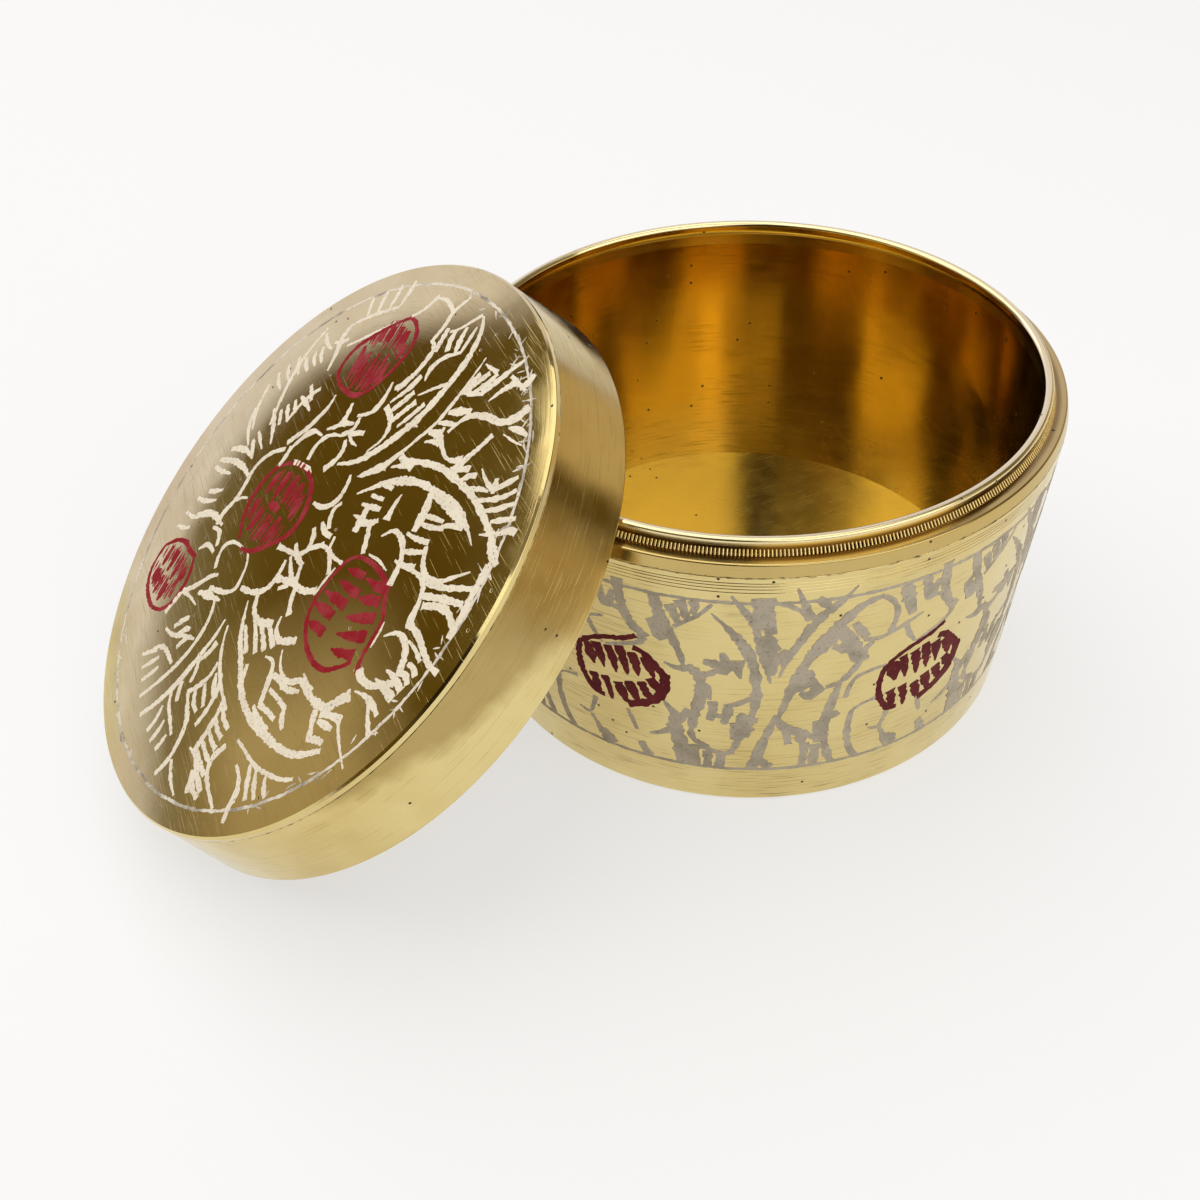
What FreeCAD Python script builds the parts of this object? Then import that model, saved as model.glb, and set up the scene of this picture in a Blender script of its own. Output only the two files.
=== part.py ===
import FreeCAD, Part
import math
import os

import Sketcher
from FreeCAD import Placement, Rotation, Vector

# Round engraved brass box. The lid is off and leans on the box, its mouth hooked over the box's lip.
# Frame: origin at the centre of the foot, +Z up, the lid on the -X side, millimetres.

# Driving sizes: name, value, what it measures
SIZES = [
    ("shoulder_radius", 42.0, "outside of the wall at its widest, at the seam under the neck ring"),
    ("shoulder_height", 41.9, "seam between wall and neck ring, above the table"),
    ("foot_taper", 2.9, "how much the wall draws in from the shoulder to the foot"),
    ("foot_bevel", 0.5, "bevel round the foot's outer edge"),
    ("wall_top_thickness", 3.0, "wall at the seam"),
    ("wall_foot_thickness", 2.2, "wall just above the floor disc"),
    ("floor_thickness", 3.0, "floor disc, flush with the foot underneath"),
    ("floor_seat", 0.9, "width of the step in the wall that the floor disc is brazed against"),
    ("ledge_inset", 0.4, "outer edge of the ledge, in from the shoulder"),
    ("ledge_rise", 1.7, "ledge above the seam"),
    ("neck_inset", 2.35, "milled neck, in from the shoulder"),
    ("neck_rise", 2.0, "lip above the ledge"),
    ("neck_bevel", 0.15, "bevel on the lip's outer edge"),
    ("lip_width", 1.1, "flat top of the lip"),
    ("lip_face", 1.4, "straight inner face of the lip"),
    ("mouth_overhang", 0.25, "lid's open edge, out past the shoulder"),
    ("mouth_land", 0.7, "flat width of the skirt's open edge"),
    ("mouth_flare", 1.6, "height of the lead-in inside the open edge"),
    ("skirt_height", 10.6, "lid's open edge to the seam under the plate"),
    ("neck_clearance", 0.25, "lid's bore over the neck"),
    ("skirt_top_thickness", 0.85, "skirt at the seam under the plate"),
    ("plate_thickness", 1.0, "lid's top plate at its edge"),
    ("plate_crown", 1.0, "rise of the plate's middle over its edge"),
    ("plate_bevel", 0.3, "bevel round the plate's top edge"),
    ("lean_gap", 0.55, "lid's mouth to the lip that it hooks over"),
    ("fill_depth", 0.25, "lacquer in its engraved channel"),
    ("line_width", 0.8, "engraved border lines"),
    ("band_top_drop", 4.0, "middle of the wall's upper border line, down from the seam"),
    ("band_bottom_height", 6.0, "middle of the wall's lower border line"),
    ("lid_line_inset", 3.15, "middle of the plate's border line, in from the plate's edge"),
    ("bud_radius", 6.3, "outline of a bud"),
    ("bud_line", 0.8, "width of a bud's outline"),
    ("bar_width", 0.7, "bars inside a bud"),
    ("stem_width", 1.1, "widest part of a crescent stem"),
    ("overrun", 1.0, "how far a cutting shape passes the surface that it cuts"),
]

# Sizes that follow the driving ones: name, formula, what it measures
FOLLOWING_SIZES = [
    ("foot_radius", "shoulder_radius - foot_taper", "outside of the wall at the foot"),
    ("ledge_radius", "shoulder_radius - ledge_inset", "ledge that the closed lid sits on"),
    ("neck_radius", "shoulder_radius - neck_inset", "milled neck that the lid slides over"),
    ("bore_radius", "neck_radius + neck_clearance", "lid's bore"),
    ("mouth_radius", "shoulder_radius + mouth_overhang", "outside of the lid's skirt at its open edge"),
    ("plate_radius", "bore_radius + skirt_top_thickness", "lid's top plate"),
    ("lid_line_radius", "plate_radius - lid_line_inset", "middle of the plate's border line"),
    ("band_top_height", "shoulder_height - band_top_drop", "middle of the wall's upper border line"),
]

FULL_TURN = 360.0
BUD_COUNT = 6
FIRST_BUD_TURN = 219.8

# Where the lip meets the plane of the lid's mouth, uphill as a share of the mouth's clear radius
LEAN_REACH_SHARE = 0.775

# Bud middles on the lid, across and uphill, as shares of the plate's border line radius
LID_BUD_SHARES = [(-0.44, 0.52), (-0.21, -0.07), (0.53, 0.05), (-0.45, -0.62)]

# Stems on the lid: start, middle and end, as shares of the plate's border line radius
LID_STEM_SHARES = [
    ((-0.10, 0.23), (0.05, 0.50), (-0.13, 0.93)),
    ((0.04, 0.29), (0.13, 0.56), (0.07, 0.86)),
    ((0.12, 0.40), (0.37, 0.57), (0.80, 0.56)),
    ((0.11, 0.26), (0.35, 0.48), (0.71, 0.53)),
    ((0.09, -0.31), (0.37, -0.44), (0.86, -0.25)),
    ((0.10, -0.43), (0.42, -0.51), (0.86, -0.37)),
    ((-0.08, -0.43), (0.02, -0.57), (0.00, -0.87)),
    ((0.07, -0.44), (0.12, -0.60), (0.05, -0.86)),
    ((-0.86, 0.38), (-0.78, 0.18), (-0.57, 0.00)),
    ((-0.89, 0.07), (-0.76, -0.07), (-0.56, -0.11)),
]

# Stems on the wall, about the middle between two buds: across as a share of the bud pitch,
# up as a share of the band's half height
WALL_STEM_SHARES = [
    ((0.26, 0.90), (0.06, 0.10), (0.10, -0.90)),
    ((-0.20, 0.90), (-0.06, 0.10), (-0.12, -0.90)),
]

# Bars in a bud: places across, ends of the two rows and slant, as shares of the bud's clear radius
BAR_ACROSS_SHARES = (-0.54, -0.18, 0.18, 0.54)
BAR_ROW_SHARES = ((0.12, 0.62), (-0.62, -0.12))
BAR_SLANT_SHARE = 0.12

doc = FreeCAD.newDocument("brass_box")
sheet = doc.addObject("Spreadsheet::Sheet", "Sizes")
rows = [(name, str(value), note) for name, value, note in SIZES]
rows += [(name, f"={formula}", note) for name, formula, note in FOLLOWING_SIZES]
for row, (name, content, note) in enumerate(rows, start=1):
    sheet.set(f"A{row}", name)
    sheet.set(f"B{row}", content)
    sheet.setAlias(f"B{row}", name)
    sheet.set(f"C{row}", note)
doc.recompute()


def cell(name):
    """Returns the expression text that reads a size from the sheet."""
    return f"Sizes.{name}"


def evaluate(text):
    """Returns the value of an expression in the sheet's sizes."""
    return float(sheet.evalExpression(text))


def size(name):
    """Returns a size from the sheet."""
    return evaluate(cell(name))


# Turned pieces


def turned_body(name, profile, place=Placement(), crowned=False):
    """Returns a body turned about Z from (radius, height) expression pairs, then placed.

    With crowned, the side that ends at the last corner, on the axis, is an arc centred on the axis.
    """
    body = doc.addObject("PartDesign::Body", name)
    sketch = body.newObject("Sketcher::SketchObject", f"{name}_profile")
    plane = next(f for f in body.Origin.OriginFeatures if f.Role == "XZ_Plane")
    sketch.AttachmentSupport = [(plane, "")]
    sketch.MapMode = "FlatFace"
    corners = [Vector(evaluate(r), evaluate(z), 0) for r, z in profile]
    count = len(corners)
    for i, start in enumerate(corners):
        end = corners[(i + 1) % count]
        if crowned and i == count - 2:
            sketch.addGeometry(crown_arc(start, end))
            sketch.addConstraint(Sketcher.Constraint("PointOnObject", i, 3, -2))
        else:
            sketch.addGeometry(Part.LineSegment(start, end))
    for i in range(count):
        sketch.addConstraint(Sketcher.Constraint("Coincident", i, 2, (i + 1) % count, 1))
        pin_corner(sketch, i, corners[i], profile[i])
    turn = body.newObject("PartDesign::Revolution", f"{name}_turn")
    turn.Profile = sketch
    turn.ReferenceAxis = (sketch, ["V_Axis"])
    turn.Angle = FULL_TURN
    body.Placement = place
    return body


def crown_arc(start, end):
    """Returns the arc from start up to end on the axis, centred on the axis."""
    rise = end.y - start.y
    radius = (start.x ** 2 + rise ** 2) / (2 * rise)
    middle = Vector(0, end.y - radius, 0)
    circle = Part.Circle(middle, Vector(0, 0, 1), radius)
    return Part.ArcOfCircle(circle, math.atan2(start.y - middle.y, start.x), math.pi / 2)


def pin_corner(sketch, side, corner, texts):
    """Binds a corner's radius and height to the sheet, or keeps it on an axis where one of them is zero."""
    for text, value, kind, axis, letter in (
        (texts[0], corner.x, "DistanceX", -2, "r"),
        (texts[1], corner.y, "DistanceY", -1, "z"),
    ):
        if text == "0":
            sketch.addConstraint(Sketcher.Constraint("PointOnObject", side, 1, axis))
            continue
        label = f"{letter}{side}"
        index = sketch.addConstraint(Sketcher.Constraint(kind, -1, 1, side, 1, value))
        sketch.renameConstraint(index, label)
        sketch.setExpression(f"Constraints.{label}", text)


def joined(kind, name, base, tool):
    """Returns a boolean of two objects of the document."""
    result = doc.addObject(kind, name)
    result.Base = base
    result.Tool = tool
    return result


# Base: wall, floor disc, neck ring and the two border lines round the wall

seam = cell("shoulder_height")
floor_top = cell("floor_thickness")
ledge_height = f"{seam} + {cell('ledge_rise')}"
lip_height = f"{ledge_height} + {cell('neck_rise')}"


def wall_radius(height):
    """Returns the expression for the wall's outer radius at a height expression."""
    spread = f"({cell('shoulder_radius')} - {cell('foot_radius')})"
    return f"{cell('foot_radius')} + {spread} * ({height}) / {seam}"


bore_top = f"{cell('shoulder_radius')} - {cell('wall_top_thickness')}"
bore_foot = f"{wall_radius(floor_top)} - {cell('wall_foot_thickness')}"
floor_radius = f"{bore_foot} + {cell('floor_seat')}"


def line_channel(height_name):
    """Returns the corners of a border line's channel in the wall, from its lower outer corner up."""
    low = f"{cell(height_name)} - {cell('line_width')} / 2"
    high = f"{cell(height_name)} + {cell('line_width')} / 2"
    return [
        (wall_radius(low), low),
        (f"{wall_radius(low)} - {cell('fill_depth')}", low),
        (f"{wall_radius(high)} - {cell('fill_depth')}", high),
        (wall_radius(high), high),
    ]


wall_blank = turned_body("wall_blank", [
    (floor_radius, "0"),
    (f"{cell('foot_radius')} - {cell('foot_bevel')}", "0"),
    (wall_radius(cell("foot_bevel")), cell("foot_bevel")),
    *line_channel("band_bottom_height"),
    *line_channel("band_top_height"),
    (cell("shoulder_radius"), seam),
    (bore_top, seam),
    (bore_foot, floor_top),
    (floor_radius, floor_top),
])

base_floor = turned_body("base_floor", [
    ("0", "0"),
    (floor_radius, "0"),
    (floor_radius, floor_top),
    ("0", floor_top),
])

lip_edge = f"{cell('neck_radius')} - {cell('neck_bevel')}"
lip_bore = f"{lip_edge} - {cell('lip_width')}"
neck_ring = turned_body("neck_ring", [
    (bore_top, seam),
    (cell("shoulder_radius"), seam),
    (cell("ledge_radius"), ledge_height),
    (cell("neck_radius"), ledge_height),
    (cell("neck_radius"), f"{lip_height} - {cell('neck_bevel')}"),
    (lip_edge, lip_height),
    (lip_bore, lip_height),
    (lip_bore, f"{lip_height} - {cell('lip_face')}"),
    (bore_top, ledge_height),
])


def border_line(name, height_name):
    """Returns the lacquer ring that fills one border line's channel."""
    outer_low, inner_low, inner_high, outer_high = line_channel(height_name)
    return turned_body(name, [inner_low, outer_low, outer_high, inner_high])


base_lower_line = border_line("base_lower_line", "band_bottom_height")
base_upper_line = border_line("base_upper_line", "band_top_height")

# Lean of the lid: its open edge stands on the table and its mouth hooks over the lip at two points

mouth_clear = size("mouth_radius") - size("mouth_land") - size("lean_gap")
uphill_reach = LEAN_REACH_SHARE * mouth_clear
lean = math.asin(evaluate(lip_height) / (size("mouth_radius") + uphill_reach))
aside_reach = math.sqrt(mouth_clear ** 2 - uphill_reach ** 2)
hook_x = -math.sqrt(size("neck_radius") ** 2 - aside_reach ** 2)
mouth_middle = Vector(hook_x - uphill_reach * math.cos(lean), 0, size("mouth_radius") * math.sin(lean))
outward = Vector(-math.sin(lean), 0, math.cos(lean))
uphill = Vector(math.cos(lean), 0, math.sin(lean))
lid_place = Placement(mouth_middle, Rotation(Vector(0, -1, 0), uphill, outward, "ZYX"))

# Lid, drawn upright and then leant: open edge at height zero, across along X, uphill along Y

skirt_top = cell("skirt_height")
plate_edge_top = f"{skirt_top} + {cell('plate_thickness')}"
plate_top = f"{plate_edge_top} + {cell('plate_crown')}"
lid_bore = cell("bore_radius")

lid_skirt = turned_body("lid_skirt", [
    (f"{cell('mouth_radius')} - {cell('mouth_land')}", "0"),
    (cell("mouth_radius"), "0"),
    (cell("plate_radius"), skirt_top),
    (lid_bore, skirt_top),
    (lid_bore, cell("mouth_flare")),
], lid_place)


def plate_profile(edge_top):
    """Returns the plate's profile, crowned over an edge at a height expression."""
    return [
        ("0", skirt_top),
        (cell("plate_radius"), skirt_top),
        (cell("plate_radius"), f"{edge_top} - {cell('plate_bevel')}"),
        (f"{cell('plate_radius')} - {cell('plate_bevel')}", edge_top),
        ("0", f"{edge_top} + {cell('plate_crown')}"),
    ]


plate_blank = turned_body("plate_blank", plate_profile(plate_edge_top), lid_place, crowned=True)
plate_core_top = f"{plate_edge_top} - {cell('fill_depth')}"
plate_core = turned_body("plate_core", plate_profile(plate_core_top), lid_place, crowned=True)
plate_skin = joined("Part::Cut", "plate_skin", plate_blank, plate_core)

# Engraved strokes, drawn flat, then cut to the skin of the piece that they are engraved in


def crescent(start, middle, end, width):
    """Returns the face of a stroke that swells to a width at its middle and is pointed at both ends."""
    along = (end - start).normalize()
    aside = Vector(-along.y, along.x, 0) * (width / 2)
    outer = Part.Arc(start, middle + aside, end).toShape()
    inner = Part.Arc(end, middle - aside, start).toShape()
    return Part.Face(Part.Wire([outer, inner]))


def bud_faces():
    """Returns the faces of a bud about the origin: a round outline and two rows of slanted bars."""
    clear = size("bud_radius") - size("bud_line")
    rim = Part.Face(Part.Wire(Part.Circle(Vector(), Vector(0, 0, 1), size("bud_radius")).toShape()))
    hollow = Part.Face(Part.Wire(Part.Circle(Vector(), Vector(0, 0, 1), clear).toShape()))
    faces = [rim.cut(hollow).Faces[0]]
    half_bar = Vector(size("bar_width") / 2, 0, 0)
    for across_share in BAR_ACROSS_SHARES:
        for low_share, high_share in BAR_ROW_SHARES:
            low = Vector(across_share, low_share, 0) * clear
            high = Vector(across_share + BAR_SLANT_SHARE, high_share, 0) * clear
            ring = [low - half_bar, low + half_bar, high + half_bar, high - half_bar, low - half_bar]
            faces.append(Part.Face(Part.makePolygon(ring)))
    return faces


def placed(faces, placement):
    """Returns copies of faces moved by a placement."""
    copies = [face.copy() for face in faces]
    for copy in copies:
        copy.Placement = placement.multiply(copy.Placement)
    return copies


def stroke_object(name, solids, place=Placement()):
    """Returns an object that holds the solids of some strokes, fused where they cross, then placed."""
    holder = doc.addObject("Part::Feature", f"{name}_strokes")
    holder.Shape = solids[0].multiFuse(solids[1:])
    holder.Placement = place
    return holder


def pocketed(name, blank, fills):
    """Returns a blank with the channels of its lacquer fills cut out of it."""
    tool = doc.addObject("Part::Compound", f"{name}_channels")
    tool.Links = fills
    return joined("Part::Cut", name, blank, tool)


# Lacquer on the lid's plate

lid_height = evaluate(plate_top)


def lid_spot(shares):
    """Returns a point on the lid's drawing plane from shares of its border line's radius."""
    return Vector(*shares, 0) * size("lid_line_radius")


def lid_fill(name, faces):
    """Returns lacquer in the plate's skin under faces drawn on the lid's drawing plane."""
    reach = Vector(0, 0, lid_height + size("overrun"))
    strokes = stroke_object(name, [face.extrude(reach) for face in faces], lid_place)
    return joined("Part::Common", name, strokes, plate_skin)


line_reach = f"{plate_top} + {cell('overrun')}"
line_inner = f"{cell('lid_line_radius')} - {cell('line_width')} / 2"
line_outer = f"{cell('lid_line_radius')} + {cell('line_width')} / 2"
lid_line_ring = turned_body("lid_line_ring", [
    (line_inner, "0"),
    (line_outer, "0"),
    (line_outer, line_reach),
    (line_inner, line_reach),
], lid_place)
lid_border_line = joined("Part::Common", "lid_border_line", lid_line_ring, plate_skin)

bud = bud_faces()
lid_bud_places = [Placement(lid_spot(shares), Rotation()) for shares in LID_BUD_SHARES]
lid_buds = lid_fill("lid_buds", [face for place in lid_bud_places for face in placed(bud, place)])
lid_stems = lid_fill("lid_stems", [
    crescent(*(lid_spot(shares) for shares in stem), size("stem_width")) for stem in LID_STEM_SHARES
])
lid_plate = pocketed("lid_plate", plate_blank, [lid_border_line, lid_buds, lid_stems])

# Lacquer on the wall, each motif drawn on the plane that touches the wall at its own turn

band_low = size("band_bottom_height")
band_high = size("band_top_height")
band_middle = (band_low + band_high) / 2
band_half = (band_high - band_low - size("line_width")) / 2
bud_pitch = FULL_TURN / BUD_COUNT
pitch_length = math.radians(bud_pitch) * evaluate(wall_radius(str(band_middle)))

skin_low = f"{cell('band_bottom_height')} + {cell('line_width')} / 2"
skin_high = f"{cell('band_top_height')} - {cell('line_width')} / 2"
wall_skin = turned_body("wall_skin", [
    (f"{wall_radius(skin_low)} - {cell('fill_depth')}", skin_low),
    (wall_radius(skin_low), skin_low),
    (wall_radius(skin_high), skin_high),
    (f"{wall_radius(skin_high)} - {cell('fill_depth')}", skin_high),
])


def wall_place(turn):
    """Returns the placement of a drawing plane outside the wall: across along X, up along Y, outward along Z."""
    angle = math.radians(turn)
    outward = Vector(math.cos(angle), math.sin(angle), 0)
    across = Vector(-math.sin(angle), math.cos(angle), 0)
    middle = outward * (size("shoulder_radius") + size("overrun")) + Vector(0, 0, band_middle)
    return Placement(middle, Rotation(across, Vector(0, 0, 1), outward, "ZYX"))


def wall_fill(name, faces, turns):
    """Returns lacquer in the wall's skin, the same faces at each turn."""
    solids = []
    for turn in turns:
        place = wall_place(turn)
        inward = place.Rotation.multVec(Vector(0, 0, -size("shoulder_radius") / 2))
        solids += [face.extrude(inward) for face in placed(faces, place)]
    return joined("Part::Common", name, stroke_object(name, solids), wall_skin)


def wall_spot(shares):
    """Returns a point on the wall's drawing plane from shares of the bud pitch and the band's half height."""
    return Vector(shares[0] * pitch_length, shares[1] * band_half, 0)


bud_turns = [FIRST_BUD_TURN + i * bud_pitch for i in range(BUD_COUNT)]
stem_turns = [turn + bud_pitch / 2 for turn in bud_turns]
wall_stems = [crescent(*(wall_spot(shares) for shares in stem), size("stem_width")) for stem in WALL_STEM_SHARES]
base_buds = wall_fill("base_buds", bud, bud_turns)
base_stems = wall_fill("base_stems", wall_stems, stem_turns)
base_wall = pocketed("base_wall", wall_blank, [base_buds, base_stems])

pieces = [
    base_wall, base_floor, neck_ring, base_lower_line, base_upper_line, base_buds, base_stems,
    lid_skirt, lid_plate, lid_border_line, lid_buds, lid_stems,
]
doc.recompute()

faults = [o.Name for o in doc.Objects if {"Invalid", "Error"} & set(o.State)]
if faults:
    raise RuntimeError(f"failed objects: {faults}")
for piece in pieces:
    if piece.Shape.isNull() or not piece.Shape.isValid() or not piece.Shape.Solids:
        raise RuntimeError(f"bad shape: {piece.Label}")

# Every channel is as large as the lacquer in it
for blank, piece, fills in (
    (wall_blank, base_wall, [base_buds, base_stems]),
    (plate_blank, lid_plate, [lid_border_line, lid_buds, lid_stems]),
):
    removed = blank.Shape.Volume - piece.Shape.Volume
    filled = sum(fill.Shape.Volume for fill in fills)
    if abs(removed - filled) > filled / 100:
        raise RuntimeError(f"{piece.Label}: channels {removed:.3f} and fills {filled:.3f} differ")

os.makedirs("parts", exist_ok=True)
for piece in pieces:
    piece.Shape.exportStep(f"parts/{piece.Label}.step")
    print(piece.Label, len(piece.Shape.Solids), round(piece.Shape.Volume, 2))
print("lean", round(math.degrees(lean), 2), "mouth middle", mouth_middle, "lid axis", outward)
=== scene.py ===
"""Looks for a round engraved brass box. Its lid is off and leans on the lip of the box."""

from __future__ import annotations

import logging
import math
import random
from dataclasses import dataclass, field
from enum import Enum
from typing import Callable, Sequence, Union

import bmesh
import bpy
from mathutils import Matrix, Vector

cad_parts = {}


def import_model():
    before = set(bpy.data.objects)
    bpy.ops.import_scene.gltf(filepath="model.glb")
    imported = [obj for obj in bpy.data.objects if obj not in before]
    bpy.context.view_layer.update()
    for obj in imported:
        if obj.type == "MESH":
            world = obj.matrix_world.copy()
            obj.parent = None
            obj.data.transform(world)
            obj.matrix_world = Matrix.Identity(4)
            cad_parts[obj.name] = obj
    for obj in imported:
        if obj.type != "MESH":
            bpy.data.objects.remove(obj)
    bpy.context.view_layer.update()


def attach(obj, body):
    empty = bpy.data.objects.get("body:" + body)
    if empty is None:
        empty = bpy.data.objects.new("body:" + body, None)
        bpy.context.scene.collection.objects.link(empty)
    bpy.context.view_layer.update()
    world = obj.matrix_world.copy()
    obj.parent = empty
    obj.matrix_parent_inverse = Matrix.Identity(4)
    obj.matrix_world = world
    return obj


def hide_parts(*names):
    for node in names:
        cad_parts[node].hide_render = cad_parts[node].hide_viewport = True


LOG = logging.getLogger("brass_box")
MM = 0.001
FULL_TURN = 2.0 * math.pi
# How far one step of a noise's seed moves the noise aside
SEED_STRIDE = Vector((37.0, 19.0, 7.0))
# Turned corners that are nearer than this are one
MERGE_REACH = 0.001 * MM
# How far a jitter of noise is stretched, because noise seldom leaves the middle of its range
JITTER_STRETCH = 4.0

Pair = tuple[float, float]
Triple = tuple[float, float, float]
Colour = Triple
Cut = tuple[Triple, Sequence[Pair]]
Socket = bpy.types.NodeSocket
Node = bpy.types.Node
Tree = bpy.types.NodeTree
Material = bpy.types.Material
Piece = bpy.types.Object
Feed = Union[Socket, Node, float, int, tuple]


class Body(Enum):
    """Bodies of the frame that pieces ride on."""

    BASE = "base"
    LID = "lid"


class Slot(Enum):
    """Material slots of the record."""

    BRASS = "brass"
    CREAM = "cream_lacquer"
    RED = "red_lacquer"
    GREY = "grey_lacquer"
    MAROON = "maroon_lacquer"


class Surface(Enum):
    """Kinds of turned surface: a wall round the axis, or a plate across it."""

    WALL = "wall"
    PLATE = "plate"


class Graph:
    """Short calls that add nodes to a tree and link them."""

    def __init__(self, tree: Tree) -> None:
        """Keeps the tree that nodes are added to."""
        self.tree = tree

    def feed(self, node: Node, inputs: dict[str | int, Feed]) -> None:
        """Links inputs of a node to other nodes, or sets their own values.

        Args:
            node: The node.
            inputs: A node, a socket or a plain value for each input, by socket name or place.
        """
        for key, value in inputs.items():
            if isinstance(value, Node):
                value = value.outputs[0]
            if isinstance(value, Socket):
                self.tree.links.new(value, node.inputs[key])
            else:
                node.inputs[key].default_value = value

    def add(self, kind: str, inputs: dict[str | int, Feed] | None = None, **settings: object) -> Node:
        """Adds a node.

        Args:
            kind: The node's type name.
            inputs: Values or links for its inputs, by socket name or place.
            settings: Values for the node's own properties.

        Returns:
            The new node.
        """
        node = self.tree.nodes.new(kind)
        for name, value in settings.items():
            setattr(node, name, value)
        self.feed(node, inputs or {})
        return node

    def math(self, operation: str, *values: Feed) -> Socket:
        """Returns the result of a number operation."""
        return self.add("ShaderNodeMath", dict(enumerate(values)), operation=operation).outputs[0]

    def whole(self, operation: str, *values: Feed) -> Socket:
        """Returns the result of a whole number operation."""
        return self.add("FunctionNodeIntegerMath", dict(enumerate(values)), operation=operation).outputs[0]

    def vector(self, operation: str, *values: Feed) -> Socket:
        """Returns the result of a vector operation, a number for a length."""
        node = self.add("ShaderNodeVectorMath", dict(enumerate(values)), operation=operation)
        return node.outputs["Value" if operation == "LENGTH" else "Vector"]

    def scaled(self, vector: Feed, factor: Feed) -> Socket:
        """Returns a vector times a number."""
        node = self.add("ShaderNodeVectorMath", {"Vector": vector, "Scale": factor}, operation="SCALE")
        return node.outputs["Vector"]

    def split(self, vector: Feed) -> list[Socket]:
        """Returns the three parts of a vector."""
        return list(self.add("ShaderNodeSeparateXYZ", {0: vector}).outputs)

    def joined(self, *parts: Feed) -> Socket:
        """Returns a vector made of three numbers."""
        return self.add("ShaderNodeCombineXYZ", dict(enumerate(parts))).outputs[0]

    def polar(self, radius: Feed, angle: Feed, height: Feed) -> Socket:
        """Returns the place at a radius, an angle and a height about the Z axis."""
        across = self.math("MULTIPLY", radius, self.math("COSINE", angle))
        return self.joined(across, self.math("MULTIPLY", radius, self.math("SINE", angle)), height)

    def remap(self, value: Feed, low: float, high: float, to_low: Feed = 0.0, to_high: Feed = 1.0) -> Socket:
        """Returns a value moved from one range to another and kept inside it."""
        inputs = {0: value, 1: low, 2: high, 3: to_low, 4: to_high}
        return self.add("ShaderNodeMapRange", inputs, clamp=True).outputs[0]

    def blend(self, share: Feed, first: Feed, second: Feed) -> Socket:
        """Returns a colour between two colours."""
        inputs = {0: share, 6: first, 7: second}
        return self.add("ShaderNodeMix", inputs, data_type="RGBA").outputs[2]

    def noise(self, vector: Feed, scale: float, detail: float = 2.0, seed: float = 0.0) -> Socket:
        """Returns the value of a flat noise, moved aside by its seed."""
        moved = self.vector("ADD", vector, tuple(SEED_STRIDE * seed))
        return self.add("ShaderNodeTexNoise", {"Vector": moved, "Scale": scale, "Detail": detail}).outputs[0]


@dataclass(frozen=True)
class Seat:
    """Where a piece's own axes sit in the frame: its turning axis is its local Z."""

    origin: Triple = (0.0, 0.0, 0.0)
    across: Triple = (1.0, 0.0, 0.0)
    uphill: Triple = (0.0, 1.0, 0.0)
    outward: Triple = (0.0, 0.0, 1.0)

    def matrix(self) -> Matrix:
        """Returns the matrix from the piece's own axes, in metres, to the frame."""
        columns = Matrix((self.across, self.uphill, self.outward)).transposed().to_4x4()
        return Matrix.Translation(Vector(self.origin) * MM) @ columns


LEAN = math.radians(38.0303)
BASE_SEAT = Seat()
LID_SEAT = Seat(
    origin=(-55.0433, 0.0, 26.0263),
    across=(0.0, -1.0, 0.0),
    uphill=(math.cos(LEAN), 0.0, math.sin(LEAN)),
    outward=(-math.sin(LEAN), 0.0, math.cos(LEAN)),
)


def opaque(colour: Colour) -> tuple[float, float, float, float]:
    """Returns a colour with full cover."""
    return (*colour, 1.0)


def new_material(name: str) -> tuple[Material, Node]:
    """Starts a material.

    Args:
        name: The material's name.

    Returns:
        The material and its shader.
    """
    material = bpy.data.materials.new(name)
    material.use_nodes = True
    return material, material.node_tree.nodes["Principled BSDF"]


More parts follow.
